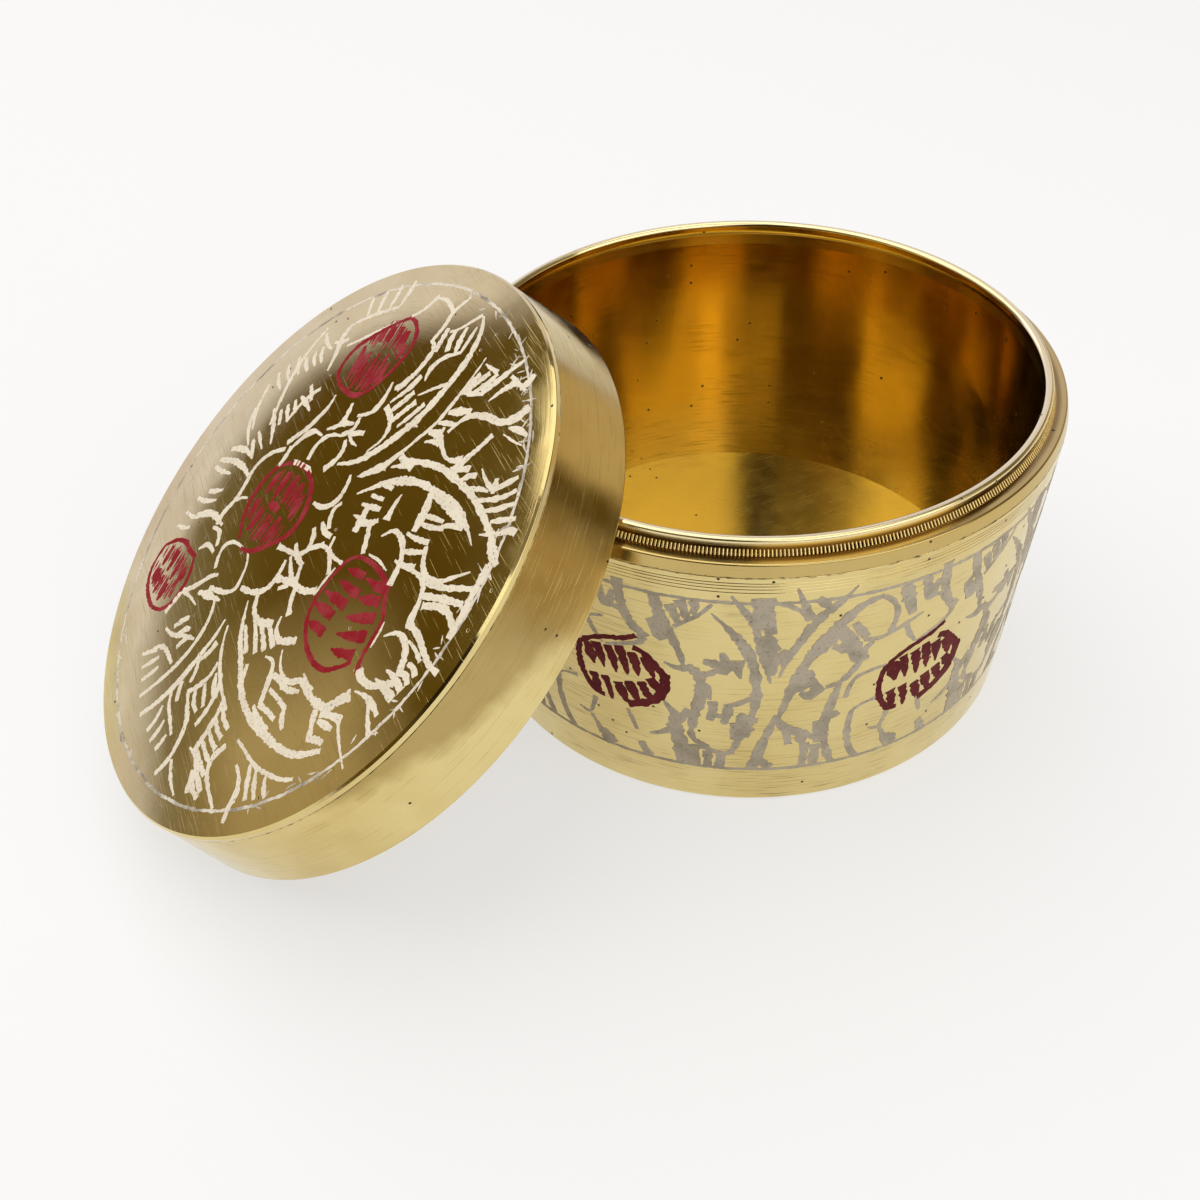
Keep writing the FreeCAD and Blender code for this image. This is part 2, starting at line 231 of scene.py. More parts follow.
@dataclass(frozen=True)
class BrassFinish:
    """Turned brass: fine lines round the axis, cloudy tarnish, scratches, pits, dents and grime in seams,
    with painted shade in a recess, a painted dark reflection in a band and a painted highlight on a lip.

    Sizes are in millimetres. An edge is the pair of values that a layer fades in between. Grime and the
    painted shade in a recess each have a radius, a height and a reach, and their fades are shares of that
    reach.
    """

    name: str
    seat: Seat
    surface: Surface
    colour: Colour = (0.76, 0.62, 0.28)
    tarnish: Colour = (0.58, 0.41, 0.13)
    tarnish_share: float = 0.45
    tarnish_edge: Pair = (0.42, 0.7)
    streak_share: float = 0.35
    streak_edge: Pair = (0.54, 0.68)
    smudge_edge: Pair = (0.4, 0.6)
    roughness: Pair = (0.12, 0.22)
    rough_edge: Pair = (0.35, 0.68)
    anisotropy: float = 0.5
    anisotropy_turn: float = 0.25
    line_rate: float = 4.0
    line_stretch: float = 0.05
    line_height: float = 0.003
    scratch_turns: tuple[Pair, ...] = ((0.5, 11.0), (1.3, 17.0), (2.5, 23.0))
    scratch_stretch: Triple = (0.10, 8.0, 1.0)
    scratch_edge: Pair = (0.69, 0.78)
    scratch_height: float = 0.003
    scratch_roughness: float = 0.1
    dent_height: float = 0.02
    pit_rate: float = 0.5
    pit_share: float = 0.03
    pit_fade: float = 0.1
    pit_edge: Pair = (0.06, 0.12)
    pit_height: float = 0.03
    soil_roughness: float = 0.4
    grime: Triple | None = None
    grime_share: float = 0.95
    grime_edge: Pair = (0.8, 1.15)
    grime_ragged: float = 1.8
    grime_stretch: Triple = (0.5, 1.2, 1.0)
    grime_colour: Colour = (0.05, 0.035, 0.015)
    inner_colour: Colour = (0.80, 0.575, 0.14)
    inner_slope: Pair | None = None
    inner_polish: float = 0.4
    unrolled_radius: float = 40.0
    dash_share: float = 0.0
    dash_stretch: Pair = (0.14, 5.5)
    dash_edge: Pair = (0.58, 0.66)
    dash_cloud: Pair = (0.42, 0.54)
    # Painted dark reflection: a brown band over the skirt's upper part that stands in for the darker
    # reflection there
    painted_reflection_share: float = 0.0
    painted_reflection_colour: Colour = (0.36, 0.24, 0.07)
    painted_reflection_edge: Pair = (8.0, 10.5)
    painted_reflection_lean: float = 0.27
    painted_reflection_ragged: float = 3.0
    painted_reflection_end: Pair = (20.0, 34.0)
    painted_reflection_rest: float = 0.3
    # Painted shade: a dark brown laid round a recess, standing in for the shade and dark reflections there
    recess: Triple | None = None
    recess_shade_share: float = 0.9
    recess_shade_fade: float = 0.6
    recess_shade_colour: Colour = (0.27, 0.165, 0.05)
    # Pale band above a height: wear polish on the lip, with a painted highlight standing in for the pale
    # reflection there
    rubbed_highlight_above: float = 100.0
    rubbed_highlight_fade: float = 0.4
    rubbed_highlight_colour: Colour = (0.90, 0.76, 0.42)

    def material(self) -> Material:
        """Returns the finish as a material."""
        return BrassLayers(self).dressed()


class BrassLayers(Graph):
    """The nodes of one brass finish, over places in the piece's own axes and in millimetres."""

    def __init__(self, finish: BrassFinish) -> None:
        """Starts the material, with the places and noises that its layers share.

        Args:
            finish: The finish that the layers follow.
        """
        self.material, self.shader = new_material(finish.name)
        super().__init__(self.material.node_tree)
        self.finish = finish
        self.own = self.add("ShaderNodeTexCoord").outputs["Object"]
        self.place = self.add("ShaderNodeMapping", {
            0: self.own,
            "Location": Vector(finish.seat.origin) * MM,
            "Rotation": finish.seat.matrix().to_euler(),
            "Scale": (MM, MM, MM),
        }, vector_type="TEXTURE")
        x, self.y, self.z = self.split(self.place)
        self.radius = self.vector("LENGTH", self.joined(x, self.y, 0.0))
        self.turn = self.math("MULTIPLY", self.math("ARCTAN2", self.y, x), finish.unrolled_radius)
        self.along = self.math("SUBTRACT", self.z, self.radius)
        wall = finish.surface is Surface.WALL
        self.flat = self.joined(self.turn, self.along, 0.0) if wall else self.joined(x, self.y, 0.0)
        self.cloud = self.noise(self.place, scale=0.07, detail=4.0, seed=3.0)
        self.smudge = self.noise(self.place, scale=0.25, detail=3.0, seed=9.0)
        self.lines = self.lathe_noise((finish.line_stretch, finish.line_rate), detail=4.0, seed=1.0)
        self.scratches = self.scratch_cover()
        self.soil = self.math("MAXIMUM", self.pit_cover(), self.grime_cover())
        self.inner = self.inner_cover()

    def dressed(self) -> Material:
        """Lays the colours, the roughness and the relief on the shader.

        Returns:
            The finished material.
        """
        finish = self.finish
        # pale lip band: wear polish with a painted highlight
        rubbed = self.remap(self.z, finish.rubbed_highlight_above, finish.rubbed_highlight_above + finish.rubbed_highlight_fade)
        colour: Feed = opaque(finish.colour)
        for cover, tone in (
            (self.inner, finish.inner_colour),
            (self.remap(self.cloud, *finish.tarnish_edge, 0.0, finish.tarnish_share), finish.tarnish),
            (self.streak_cover(), finish.tarnish),
            (self.dash_cover(), finish.grime_colour),
            # painted dark reflection band
            (self.painted_reflection_cover(), finish.painted_reflection_colour),
            # painted shade in the recess
            (self.recess_shade_cover(), finish.recess_shade_colour),
            (rubbed, finish.rubbed_highlight_colour),
            (self.soil, finish.grime_colour),
        ):
            colour = self.blend(cover, colour, opaque(tone))
        rough = self.remap(self.smudge, *finish.rough_edge, *finish.roughness)
        rough = self.math("MULTIPLY", rough, self.math("MULTIPLY_ADD", self.inner, -finish.inner_polish, 1.0))
        rough = self.math("MULTIPLY_ADD", self.scratches, finish.scratch_roughness, rough)
        rough = self.math("MULTIPLY_ADD", self.soil, finish.soil_roughness, rough)
        height = self.math("MULTIPLY", self.lines, finish.line_height)
        height = self.math("MULTIPLY_ADD", self.scratches, -finish.scratch_height, height)
        height = self.math("MULTIPLY_ADD", self.soil, -finish.pit_height, height)
        dents = self.noise(self.place, scale=0.16, detail=1.0, seed=15.0)
        height = self.math("MULTIPLY_ADD", dents, finish.dent_height, height)
        offset = self.vector("SUBTRACT", self.own, tuple(Vector(finish.seat.origin) * MM))
        tangent = self.vector("CROSS_PRODUCT", tuple(finish.seat.outward), offset)
        self.feed(self.shader, {
            "Base Color": colour,
            "Metallic": 1.0,
            "Roughness": rough,
            "Anisotropic": finish.anisotropy,
            "Anisotropic Rotation": finish.anisotropy_turn,
            "Tangent": self.vector("NORMALIZE", tangent),
            "Normal": self.add("ShaderNodeBump", {"Distance": MM, "Height": height}),
        })
        return self.material

    def lathe_noise(self, stretch: Pair, detail: float, seed: float) -> Socket:
        """Returns broken lines round the axis, scaled round it and along it."""
        scaled = [self.math("MULTIPLY", *pair) for pair in zip((self.turn, self.along), stretch)]
        return self.noise(self.joined(*scaled, 0.0), 1.0, detail, seed)

    def seam_distance(self, seam: Triple) -> Socket:
        """Returns the distance from a seam round the axis."""
        offset = self.vector("SUBTRACT", self.joined(self.radius, self.z, 0.0), (*seam[:2], 0.0))
        return self.vector("LENGTH", offset)

    def scratch_cover(self) -> Feed:
        """Lays fine straight scratches in a few directions.

        Returns:
            Their cover.
        """
        total: Feed = 0.0
        for turn, seed in self.finish.scratch_turns:
            inputs = {0: self.flat, "Rotation": (0.0, 0.0, turn), "Scale": self.finish.scratch_stretch}
            lane = self.noise(self.add("ShaderNodeMapping", inputs), 1.0, 1.0, seed)
            total = self.math("MAXIMUM", total, self.remap(lane, *self.finish.scratch_edge))
        return total

    def pit_cover(self) -> Socket:
        """Scatters a few small casting pits.

        Returns:
            Their cover.
        """
        inputs = {"Vector": self.flat, "Scale": self.finish.pit_rate}
        cells = self.add("ShaderNodeTexVoronoi", inputs, voronoi_dimensions="2D").outputs
        share = self.finish.pit_share
        low = 1.0 - share
        few = self.remap(self.split(cells["Color"])[0], low, low + self.finish.pit_fade * share)
        return self.math("MULTIPLY", self.remap(cells["Distance"], *self.finish.pit_edge, 1.0, 0.0), few)

    def grime_cover(self) -> Feed:
        """Fills a seam with dark ragged grime.

        Returns:
            Its cover.
        """
        finish = self.finish
        if finish.grime is None:
            return 0.0
        reach = finish.grime[2]
        stretched = self.vector("MULTIPLY", self.flat, finish.grime_stretch)
        ragged = self.noise(stretched, scale=1.6, detail=4.0, seed=5.0)
        distance = self.seam_distance(finish.grime)
        spot = self.math("MULTIPLY_ADD", ragged, finish.grime_ragged * reach, distance)
        low, high = finish.grime_edge
        return self.remap(spot, low * reach, high * reach, finish.grime_share, 0.0)

    def inner_cover(self) -> Feed:
        """Finds where the brass faces the inside of the box.

        Returns:
            One inside and zero outside.
        """
        if self.finish.inner_slope is None:
            return 0.0
        level, slope = self.finish.inner_slope
        return self.math("LESS_THAN", self.math("MULTIPLY_ADD", self.z, -slope, self.radius), level)

    def streak_cover(self) -> Socket:
        """Returns the cover of tarnish that is left in the turned lines."""
        patches = self.remap(self.smudge, *self.finish.smudge_edge, 0.0, self.finish.streak_share)
        return self.math("MULTIPLY", self.remap(self.lines, *self.finish.streak_edge), patches)

    def dash_cover(self) -> Feed:
        """Lays short dark dashes along the turned lines, in clouds.

        Returns:
            Their cover.
        """
        if not self.finish.dash_share:
            return 0.0
        dashes = self.lathe_noise(self.finish.dash_stretch, detail=2.0, seed=29.0)
        dash = self.remap(dashes, *self.finish.dash_edge, 0.0, self.finish.dash_share)
        return self.math("MULTIPLY", dash, self.remap(self.cloud, *self.finish.dash_cloud))

    def painted_reflection_cover(self) -> Feed:
        """Paints a dark reflection: a brown band with a ragged lower edge, less of it uphill.

        Returns:
            Its cover.
        """
        finish = self.finish
        if not finish.painted_reflection_share:
            return 0.0
        tide = self.math("MULTIPLY_ADD", self.y, finish.painted_reflection_lean, self.z)
        tide = self.math("MULTIPLY_ADD", self.smudge, finish.painted_reflection_ragged, tide)
        cover = self.remap(tide, *finish.painted_reflection_edge, 0.0, finish.painted_reflection_share)
        return self.math("MULTIPLY", cover, self.remap(self.y, *finish.painted_reflection_end, 1.0, finish.painted_reflection_rest))

    def recess_shade_cover(self) -> Feed:
        """Paints shade into a recess: a dark brown that stands in for the shade and dark reflections there.

        Returns:
            Its cover.
        """
        finish = self.finish
        if finish.recess is None:
            return 0.0
        reach = finish.recess[2]
        distance = self.seam_distance(finish.recess)
        return self.remap(distance, finish.recess_shade_fade * reach, reach, finish.recess_shade_share, 0.0)


@dataclass(frozen=True)
class LacquerFinish:
    """Lacquer rubbed into the engraving: mottled, a little worn and dusty."""

    name: str
    colour: Colour
    worn: Colour
    wear_share: float = 0.5
    wear_edge: Pair = (0.45, 0.65)
    soil: Colour = (0.12, 0.10, 0.07)
    soil_share: float = 0.5
    soil_edge: Pair = (0.58, 0.74)
    speck_share: float = 0.8
    speck_edge: Pair = (0.69, 0.73)
    roughness: Pair = (0.5, 0.7)
    rough_edge: Pair = (0.3, 0.7)
    grain_height: float = 0.008
    sheen: float = 0.25

    def material(self) -> Material:
        """Builds the finish as a material.

        Returns:
            The material.
        """
        material, shader = new_material(self.name)
        graph = Graph(material.node_tree)
        place = graph.scaled(graph.add("ShaderNodeTexCoord").outputs["Object"], 1.0 / MM)
        cloud = graph.noise(place, scale=0.3, detail=4.0, seed=2.0)
        grain = graph.noise(place, scale=2.6, detail=3.0, seed=6.0)
        specks = graph.noise(place, scale=3.4, detail=1.0, seed=21.0)
        colour: Feed = opaque(self.colour)
        for noise, edge, share, tone in (
            (cloud, self.wear_edge, self.wear_share, self.worn),
            (grain, self.soil_edge, self.soil_share, self.soil),
            (specks, self.speck_edge, self.speck_share, self.soil),
        ):
            colour = graph.blend(graph.remap(noise, *edge, 0.0, share), colour, opaque(tone))
        height = graph.math("MULTIPLY", grain, self.grain_height)
        graph.feed(shader, {
            "Base Color": colour,
            "Roughness": graph.remap(grain, *self.rough_edge, *self.roughness),
            "Specular IOR Level": self.sheen,
            "Normal": graph.add("ShaderNodeBump", {"Distance": MM, "Height": height}),
        })
        return material


def new_tree(name: str, **sockets: str) -> tuple[Graph, Node, Node]:
    """Starts a geometry tree.

    Args:
        name: The tree's name.
        sockets: Kind of each input after the geometry, by its name.

    Returns:
        The graph, its group input and its group output.
    """
    tree = bpy.data.node_groups.new(name, "GeometryNodeTree")
    for label, kind in {"Geometry": "Geometry", **sockets}.items():
        tree.interface.new_socket(label, in_out="INPUT", socket_type=f"NodeSocket{kind}")
    tree.interface.new_socket("Geometry", in_out="OUTPUT", socket_type="NodeSocketGeometry")
    graph = Graph(tree)
    return graph, graph.add("NodeGroupInput"), graph.add("NodeGroupOutput")


def close_tree(graph: Graph, entry: Node, leave: Node, geometry: Feed) -> Tree:
    """Ends a tree with realized instances and its finish.

    Args:
        graph: The tree's graph.
        entry: Its group input.
        leave: Its group output.
        geometry: The finished geometry.

    Returns:
        The tree.
    """
    real = graph.add("GeometryNodeRealizeInstances", {"Geometry": geometry})
    dressed = graph.add("GeometryNodeSetMaterial", {"Geometry": real, "Material": entry.outputs["Finish"]})
    graph.feed(leave, {0: dressed})
    return graph.tree


def turned_tree() -> Tree:
    """Makes the tree that turns a profile, radius along X and height along Z, about the Z axis.

    Returns:
        The finished tree.
    """
    graph, entry, leave = new_tree("Turned piece", Facets="Int", Finish="Material")
    outline = entry.outputs["Geometry"]
    facets = entry.outputs["Facets"]
    corners = graph.add("GeometryNodeAttributeDomainSize", {0: outline}).outputs["Point Count"]
    columns = graph.whole("ADD", facets, 1)
    grid = graph.add("GeometryNodeMeshGrid", {"Vertices X": columns, "Vertices Y": corners})
    index = graph.add("GeometryNodeInputIndex")
    corner = graph.whole("MODULO", index, corners)
    step = graph.whole("DIVIDE_FLOOR", index, corners)
    profile = graph.add("GeometryNodeSampleIndex", {
        0: outline, 1: graph.add("GeometryNodeInputPosition"), 2: corner,
    }, data_type="FLOAT_VECTOR")
    radius, _, height = graph.split(profile)
    angle = graph.math("MULTIPLY", graph.math("DIVIDE", step, facets), FULL_TURN)
    place = graph.polar(radius, angle, height)
    turned = graph.add("GeometryNodeSetPosition", {"Geometry": grid, "Position": place})
    closed = graph.add("GeometryNodeMergeByDistance", {"Geometry": turned, "Distance": MERGE_REACH})
    return close_tree(graph, entry, leave, closed)


def milled_tree(sides: int = 8, least_width: float = 0.75) -> Tree:
    """Makes the tree that stands fine leaning beads side by side round a neck.

    Args:
        sides: Sides of a bead.
        least_width: Width of the most worn bead, as a share of a full one.

    Returns:
        The finished tree.
    """
    graph, entry, leave = new_tree(
        "Milled beads", Count="Int", Radius="Float", Level="Float", Thickness="Float", Length="Float",
        Lean="Float", Seed="Int", Finish="Material",
    )
    given = entry.outputs
    ring = graph.add("GeometryNodeMeshCircle", {"Vertices": given["Count"], "Radius": given["Radius"]})
    outward = graph.add("FunctionNodeAlignRotationToVector", {
        "Vector": graph.add("GeometryNodeInputPosition"),
    }, axis="X", pivot_axis="Z")
    tilt = graph.add("FunctionNodeAxisAngleToRotation", {
        "Axis": (0.0, 1.0, 0.0), "Angle": graph.math("MULTIPLY", given["Lean"], -1.0),
    })
    turn = graph.add("FunctionNodeRotateRotation", {0: outward, 1: tilt}, rotation_space="LOCAL")
    wear = graph.add("FunctionNodeRandomValue", {
        2: least_width, 3: 1.0, "Seed": given["Seed"],
    }, data_type="FLOAT")
    bead = graph.add("GeometryNodeMeshCylinder", {
        "Vertices": sides,
        "Radius": graph.math("MULTIPLY", given["Thickness"], 0.5),
        "Depth": given["Length"],
    })
    beads = graph.add("GeometryNodeInstanceOnPoints", {
        "Points": ring,
        "Instance": bead,
        "Rotation": turn,
        "Scale": graph.joined(wear.outputs[1], 1.0, 1.0),
    })
    beads = graph.add("GeometryNodeTranslateInstances", {
        "Instances": beads,
        "Translation": graph.joined(0.0, 0.0, given["Level"]),
        "Local Space": False,
    })
    return close_tree(graph, entry, leave, beads)


@dataclass
class StrokeSheet:
    """Engraved strokes drawn flat: the line of each cut and its half width along the way, in millimetres."""

    points: list[Pair] = field(default_factory=list)
    halves: list[float] = field(default_factory=list)
    edges: list[tuple[int, int]] = field(default_factory=list)

    def cut(self, line: Sequence[Pair], widths: Sequence[float]) -> None:
        """Adds one stroke.

        Args:
            line: The points that it runs through.
            widths: Its full width at each point.
        """
        start = len(self.points)
        self.points.extend(line)
        self.halves.extend(width / 2.0 for width in widths)
        self.edges.extend((i, i + 1) for i in range(start, start + len(line) - 1))

    def draw(self, cuts: Sequence[Cut], unit: float, spot: Callable[[float, float], Pair]) -> StrokeSheet:
        """Adds the cuts of a drawing.

        Args:
            cuts: The cuts as they are drawn.
            unit: Millimetres of width in a unit of the drawing.
            spot: Finds the place of a drawn point on the surface.

        Returns:
            This sheet.
        """
        for widths, line in cuts:
            points, sides = woven(line, widths)
            self.cut([spot(x, y) for x, y in points], [side * unit for side in sides])
        return self

    def mesh(self, name: str) -> bpy.types.Mesh:
        """Makes the strokes' centre lines, with their half widths.

        Args:
            name: The mesh's name.

        Returns:
            The lines as a mesh in metres.
        """
        mesh = bpy.data.meshes.new(name)
        mesh.from_pydata([(x * MM, y * MM, 0.0) for x, y in self.points], self.edges, [])
        half = mesh.attributes.new("half_width", "FLOAT", "POINT")
        half.data.foreach_set("value", [value * MM for value in self.halves])
        return mesh


# Section of a lacquer fill, as shares of its half width: it stands a little over the brass
FILL_SECTION: tuple[Pair, ...] = ((-1.0, 0.3), (1.0, 0.3), (0.96, -0.05), (-0.96, -0.05))
# Least and most width of a fill along its way, as shares of the drawn width
FILL_SPREAD: Pair = (0.74, 1.22)


def graver_tree(surface: Surface, bend: Sequence[float]) -> Tree:
    """Makes the tree that turns drawn strokes into ragged lacquer fills laid on a surface.

    Args:
        surface: The surface that the flat drawing is laid on.
        bend: For the wall, its foot radius and its spread per metre of height, and the radius that
            the drawing's across length is measured at. For the plate, its crown's radius and the
            height of the crown's centre over the open edge. All in metres.

    Returns:
        The finished tree.
    """
    graph, entry, leave = new_tree(
        f"Graver strokes on the {surface.value}",
        Step="Float", Wander="Float", Ragged="Float", Seed="Float", Finish="Material",
    )
    given = entry.outputs
    curve = graph.add("GeometryNodeMeshToCurve", {0: given["Geometry"]})
    curve = graph.add("GeometryNodeResampleCurve", {"Curve": curve, "Length": given["Step"]}, mode="LENGTH")
    curve = graph.add("GeometryNodeSetCurveNormal", {"Curve": curve}, mode="Z_UP")
    wander = flat_jitter(graph, entry, "Wander", rate=0.5 / MM, shift=0.0)
    curve = graph.add("GeometryNodeSetPosition", {"Geometry": curve, "Offset": wander})
    half = graph.add("GeometryNodeInputNamedAttribute", {"Name": "half_width"}, data_type="FLOAT")
    spread = {2: FILL_SPREAD[0], 3: FILL_SPREAD[1], "Seed": given["Seed"]}
    facet = graph.add("FunctionNodeRandomValue", spread, data_type="FLOAT")
    section = graph.add("GeometryNodeCurvePrimitiveQuadrilateral", {
        f"Point {number}": (*corner, 0.0) for number, corner in enumerate(FILL_SECTION, 1)
    }, mode="POINTS")
    strip = graph.add("GeometryNodeCurveToMesh", {
        "Curve": curve,
        "Profile Curve": section,
        "Scale": graph.math("MULTIPLY", half, facet.outputs[1]),
        "Fill Caps": True,
    })
    ragged = flat_jitter(graph, entry, "Ragged", rate=4.0 / MM, shift=40.0)
    strip = graph.add("GeometryNodeSetPosition", {"Geometry": strip, "Offset": ragged})
    u, v, rise = graph.split(graph.add("GeometryNodeInputPosition"))
    if surface is Surface.WALL:
        foot, growth, measured = bend
        radius = graph.math("ADD", graph.math("MULTIPLY_ADD", v, growth, foot), rise)
        place = graph.polar(radius, graph.math("DIVIDE", u, measured), v)
    else:
        crown, centre = bend
        reach = graph.math("ADD", graph.math("MULTIPLY", u, u), graph.math("MULTIPLY", v, v))
        drop = graph.math("SQRT", graph.math("SUBTRACT", crown * crown, reach))
        place = graph.joined(u, v, graph.math("ADD", graph.math("ADD", drop, centre), rise))
    laid = graph.add("GeometryNodeSetPosition", {"Geometry": strip, "Position": place})
    return close_tree(graph, entry, leave, laid)


def flat_jitter(graph: Graph, entry: Node, reach: str, rate: float, shift: float) -> Socket:
    """Makes a small sideways offset from noise.

    Args:
        graph: The tree's graph.
        entry: Its group input.
        reach: Name of the input that gives the offset's reach.
        rate: The noise's scale.
        shift: Added to the tree's seed.

    Returns:
        The offset.
    """
    noise = graph.add("ShaderNodeTexNoise", {
        "Vector": graph.add("GeometryNodeInputPosition"),
        "W": graph.math("ADD", entry.outputs["Seed"], shift),
        "Scale": rate,
        "Detail": 2.0,
    }, noise_dimensions="4D")
    swing = graph.vector("SUBTRACT", noise.outputs["Color"], (0.5, 0.5, 0.5))
    swing = graph.scaled(swing, graph.math("MULTIPLY", entry.outputs[reach], JITTER_STRETCH))
    return graph.vector("MULTIPLY", swing, (1.0, 1.0, 0.0))


def grown(name: str, source: bpy.types.Mesh, tree: Tree, values: dict[str, object]) -> Piece:
    """Runs a geometry tree on a mesh.

    Args:
        name: The finished piece's name.
        source: The mesh that the tree starts from.
        tree: The geometry tree.
        values: Values for the tree's inputs, by their names.

    Returns:
        An object at the origin with the finished plain mesh.
    """
    holder = bpy.data.objects.new(f"{name}_source", source)
    modifier = holder.modifiers.new("grow", "NODES")
    modifier.node_group = tree
    for item in tree.interface.items_tree:
        if item.item_type == "SOCKET" and item.in_out == "INPUT" and item.name in values:
            modifier[item.identifier] = values[item.name]
    bpy.context.scene.collection.objects.link(holder)
    graph = bpy.context.evaluated_depsgraph_get()
    mesh = bpy.data.meshes.new_from_object(holder.evaluated_get(graph))
    holder.modifiers.remove(modifier)
    bpy.data.objects.remove(holder)
    mesh.name = name
    piece = bpy.data.objects.new(name, mesh)
    bpy.context.scene.collection.objects.link(piece)
    return piece


def settled(piece: Piece, seat: Seat, sharp: float | None) -> Piece:
    """Sets a finished mesh on its seat, with its faces outwards.

    Args:
        piece: The piece.
        seat: Where its own axes sit.
        sharp: Angle in degrees over which an edge stays sharp, or nothing for flat faces.

    Returns:
        The same piece.
    """
    work = bmesh.new()
    work.from_mesh(piece.data)
    bmesh.ops.recalc_face_normals(work, faces=work.faces)
    work.to_mesh(piece.data)
    work.free()
    if sharp is None:
        piece.data.shade_flat()
    else:
        piece.data.shade_smooth()
        piece.data.set_sharp_from_angle(angle=math.radians(sharp))
    piece.data.transform(seat.matrix())
    return piece


def rounded(profile: Sequence[Triple], steps: int = 4, hold: float = 0.04) -> list[Pair]:
    """Rounds the corners of a closed profile.

    Args:
        profile: Radius, height and rounding of each corner, in millimetres.
        steps: Sides that a rounded corner is made of.
        hold: Length of the narrow face on each side of a rounded corner, which keeps the shading of
            the long faces even.

    Returns:
        The profile's points.
    """
    points: list[Pair] = []
    count = len(profile)
    for i, (radius, height, fillet) in enumerate(profile):
        corner = Vector((radius, height))
        if fillet == 0.0:
            points.append((radius, height))
            continue
        before = (Vector(profile[i - 1][:2]) - corner).normalized()
        after = (Vector(profile[(i + 1) % count][:2]) - corner).normalized()
        half = before.angle(after) / 2.0
        reach = fillet / math.tan(half)
        middle = corner + (before + after).normalized() * (fillet / math.sin(half))
        start = corner + before * reach - middle
        sweep = start.angle_signed(corner + after * reach - middle)
        points.append(tuple(corner + before * (reach + hold)))
        for step in range(steps + 1):
            turned = start.copy()
            turned.rotate(Matrix.Rotation(-sweep * step / steps, 2))
            points.append(tuple(middle + turned))
        points.append(tuple(corner + after * (reach + hold)))
    return points


@dataclass
class Workshop:
    """The lathe that the sub-assemblies share: its tree, its fineness and its sharp angle in degrees."""

    turning: Tree
    facets: int = 360
    sharp: float = 25.0

    def turn(self, name: str, profile: Sequence[Pair], seat: Seat, finish: Material) -> Piece:
        """Turns a piece.

        Args:
            name: The piece's name.
            profile: Its closed profile, in millimetres.
            seat: Where its own axes sit.
            finish: Its finish.

        Returns:
            The piece.
        """
        ring = [*profile, profile[0]]
        mesh = bpy.data.meshes.new(f"{name}_profile")
        edges = [(i, i + 1) for i in range(len(ring) - 1)]
        mesh.from_pydata([(radius * MM, 0.0, height * MM) for radius, height in ring], edges, [])
        piece = grown(name, mesh, self.turning, {"Facets": self.facets, "Finish": finish})
        return settled(piece, seat, self.sharp)


def fitted(piece: Piece, body: Body, slot: Slot, *nodes: str) -> None:
    """Puts a finished piece in its place in the frame.

    Args:
        piece: The piece.
        body: The body that it rides on.
        slot: The material slot of its finish; not used.
        nodes: The nodes that it stands for.
    """
    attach(piece, body.value)
    if nodes:
        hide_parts(*nodes)
    LOG.info("%s: %d faces, for %s", piece.name, len(piece.data.polygons), ", ".join(nodes) or "no node")


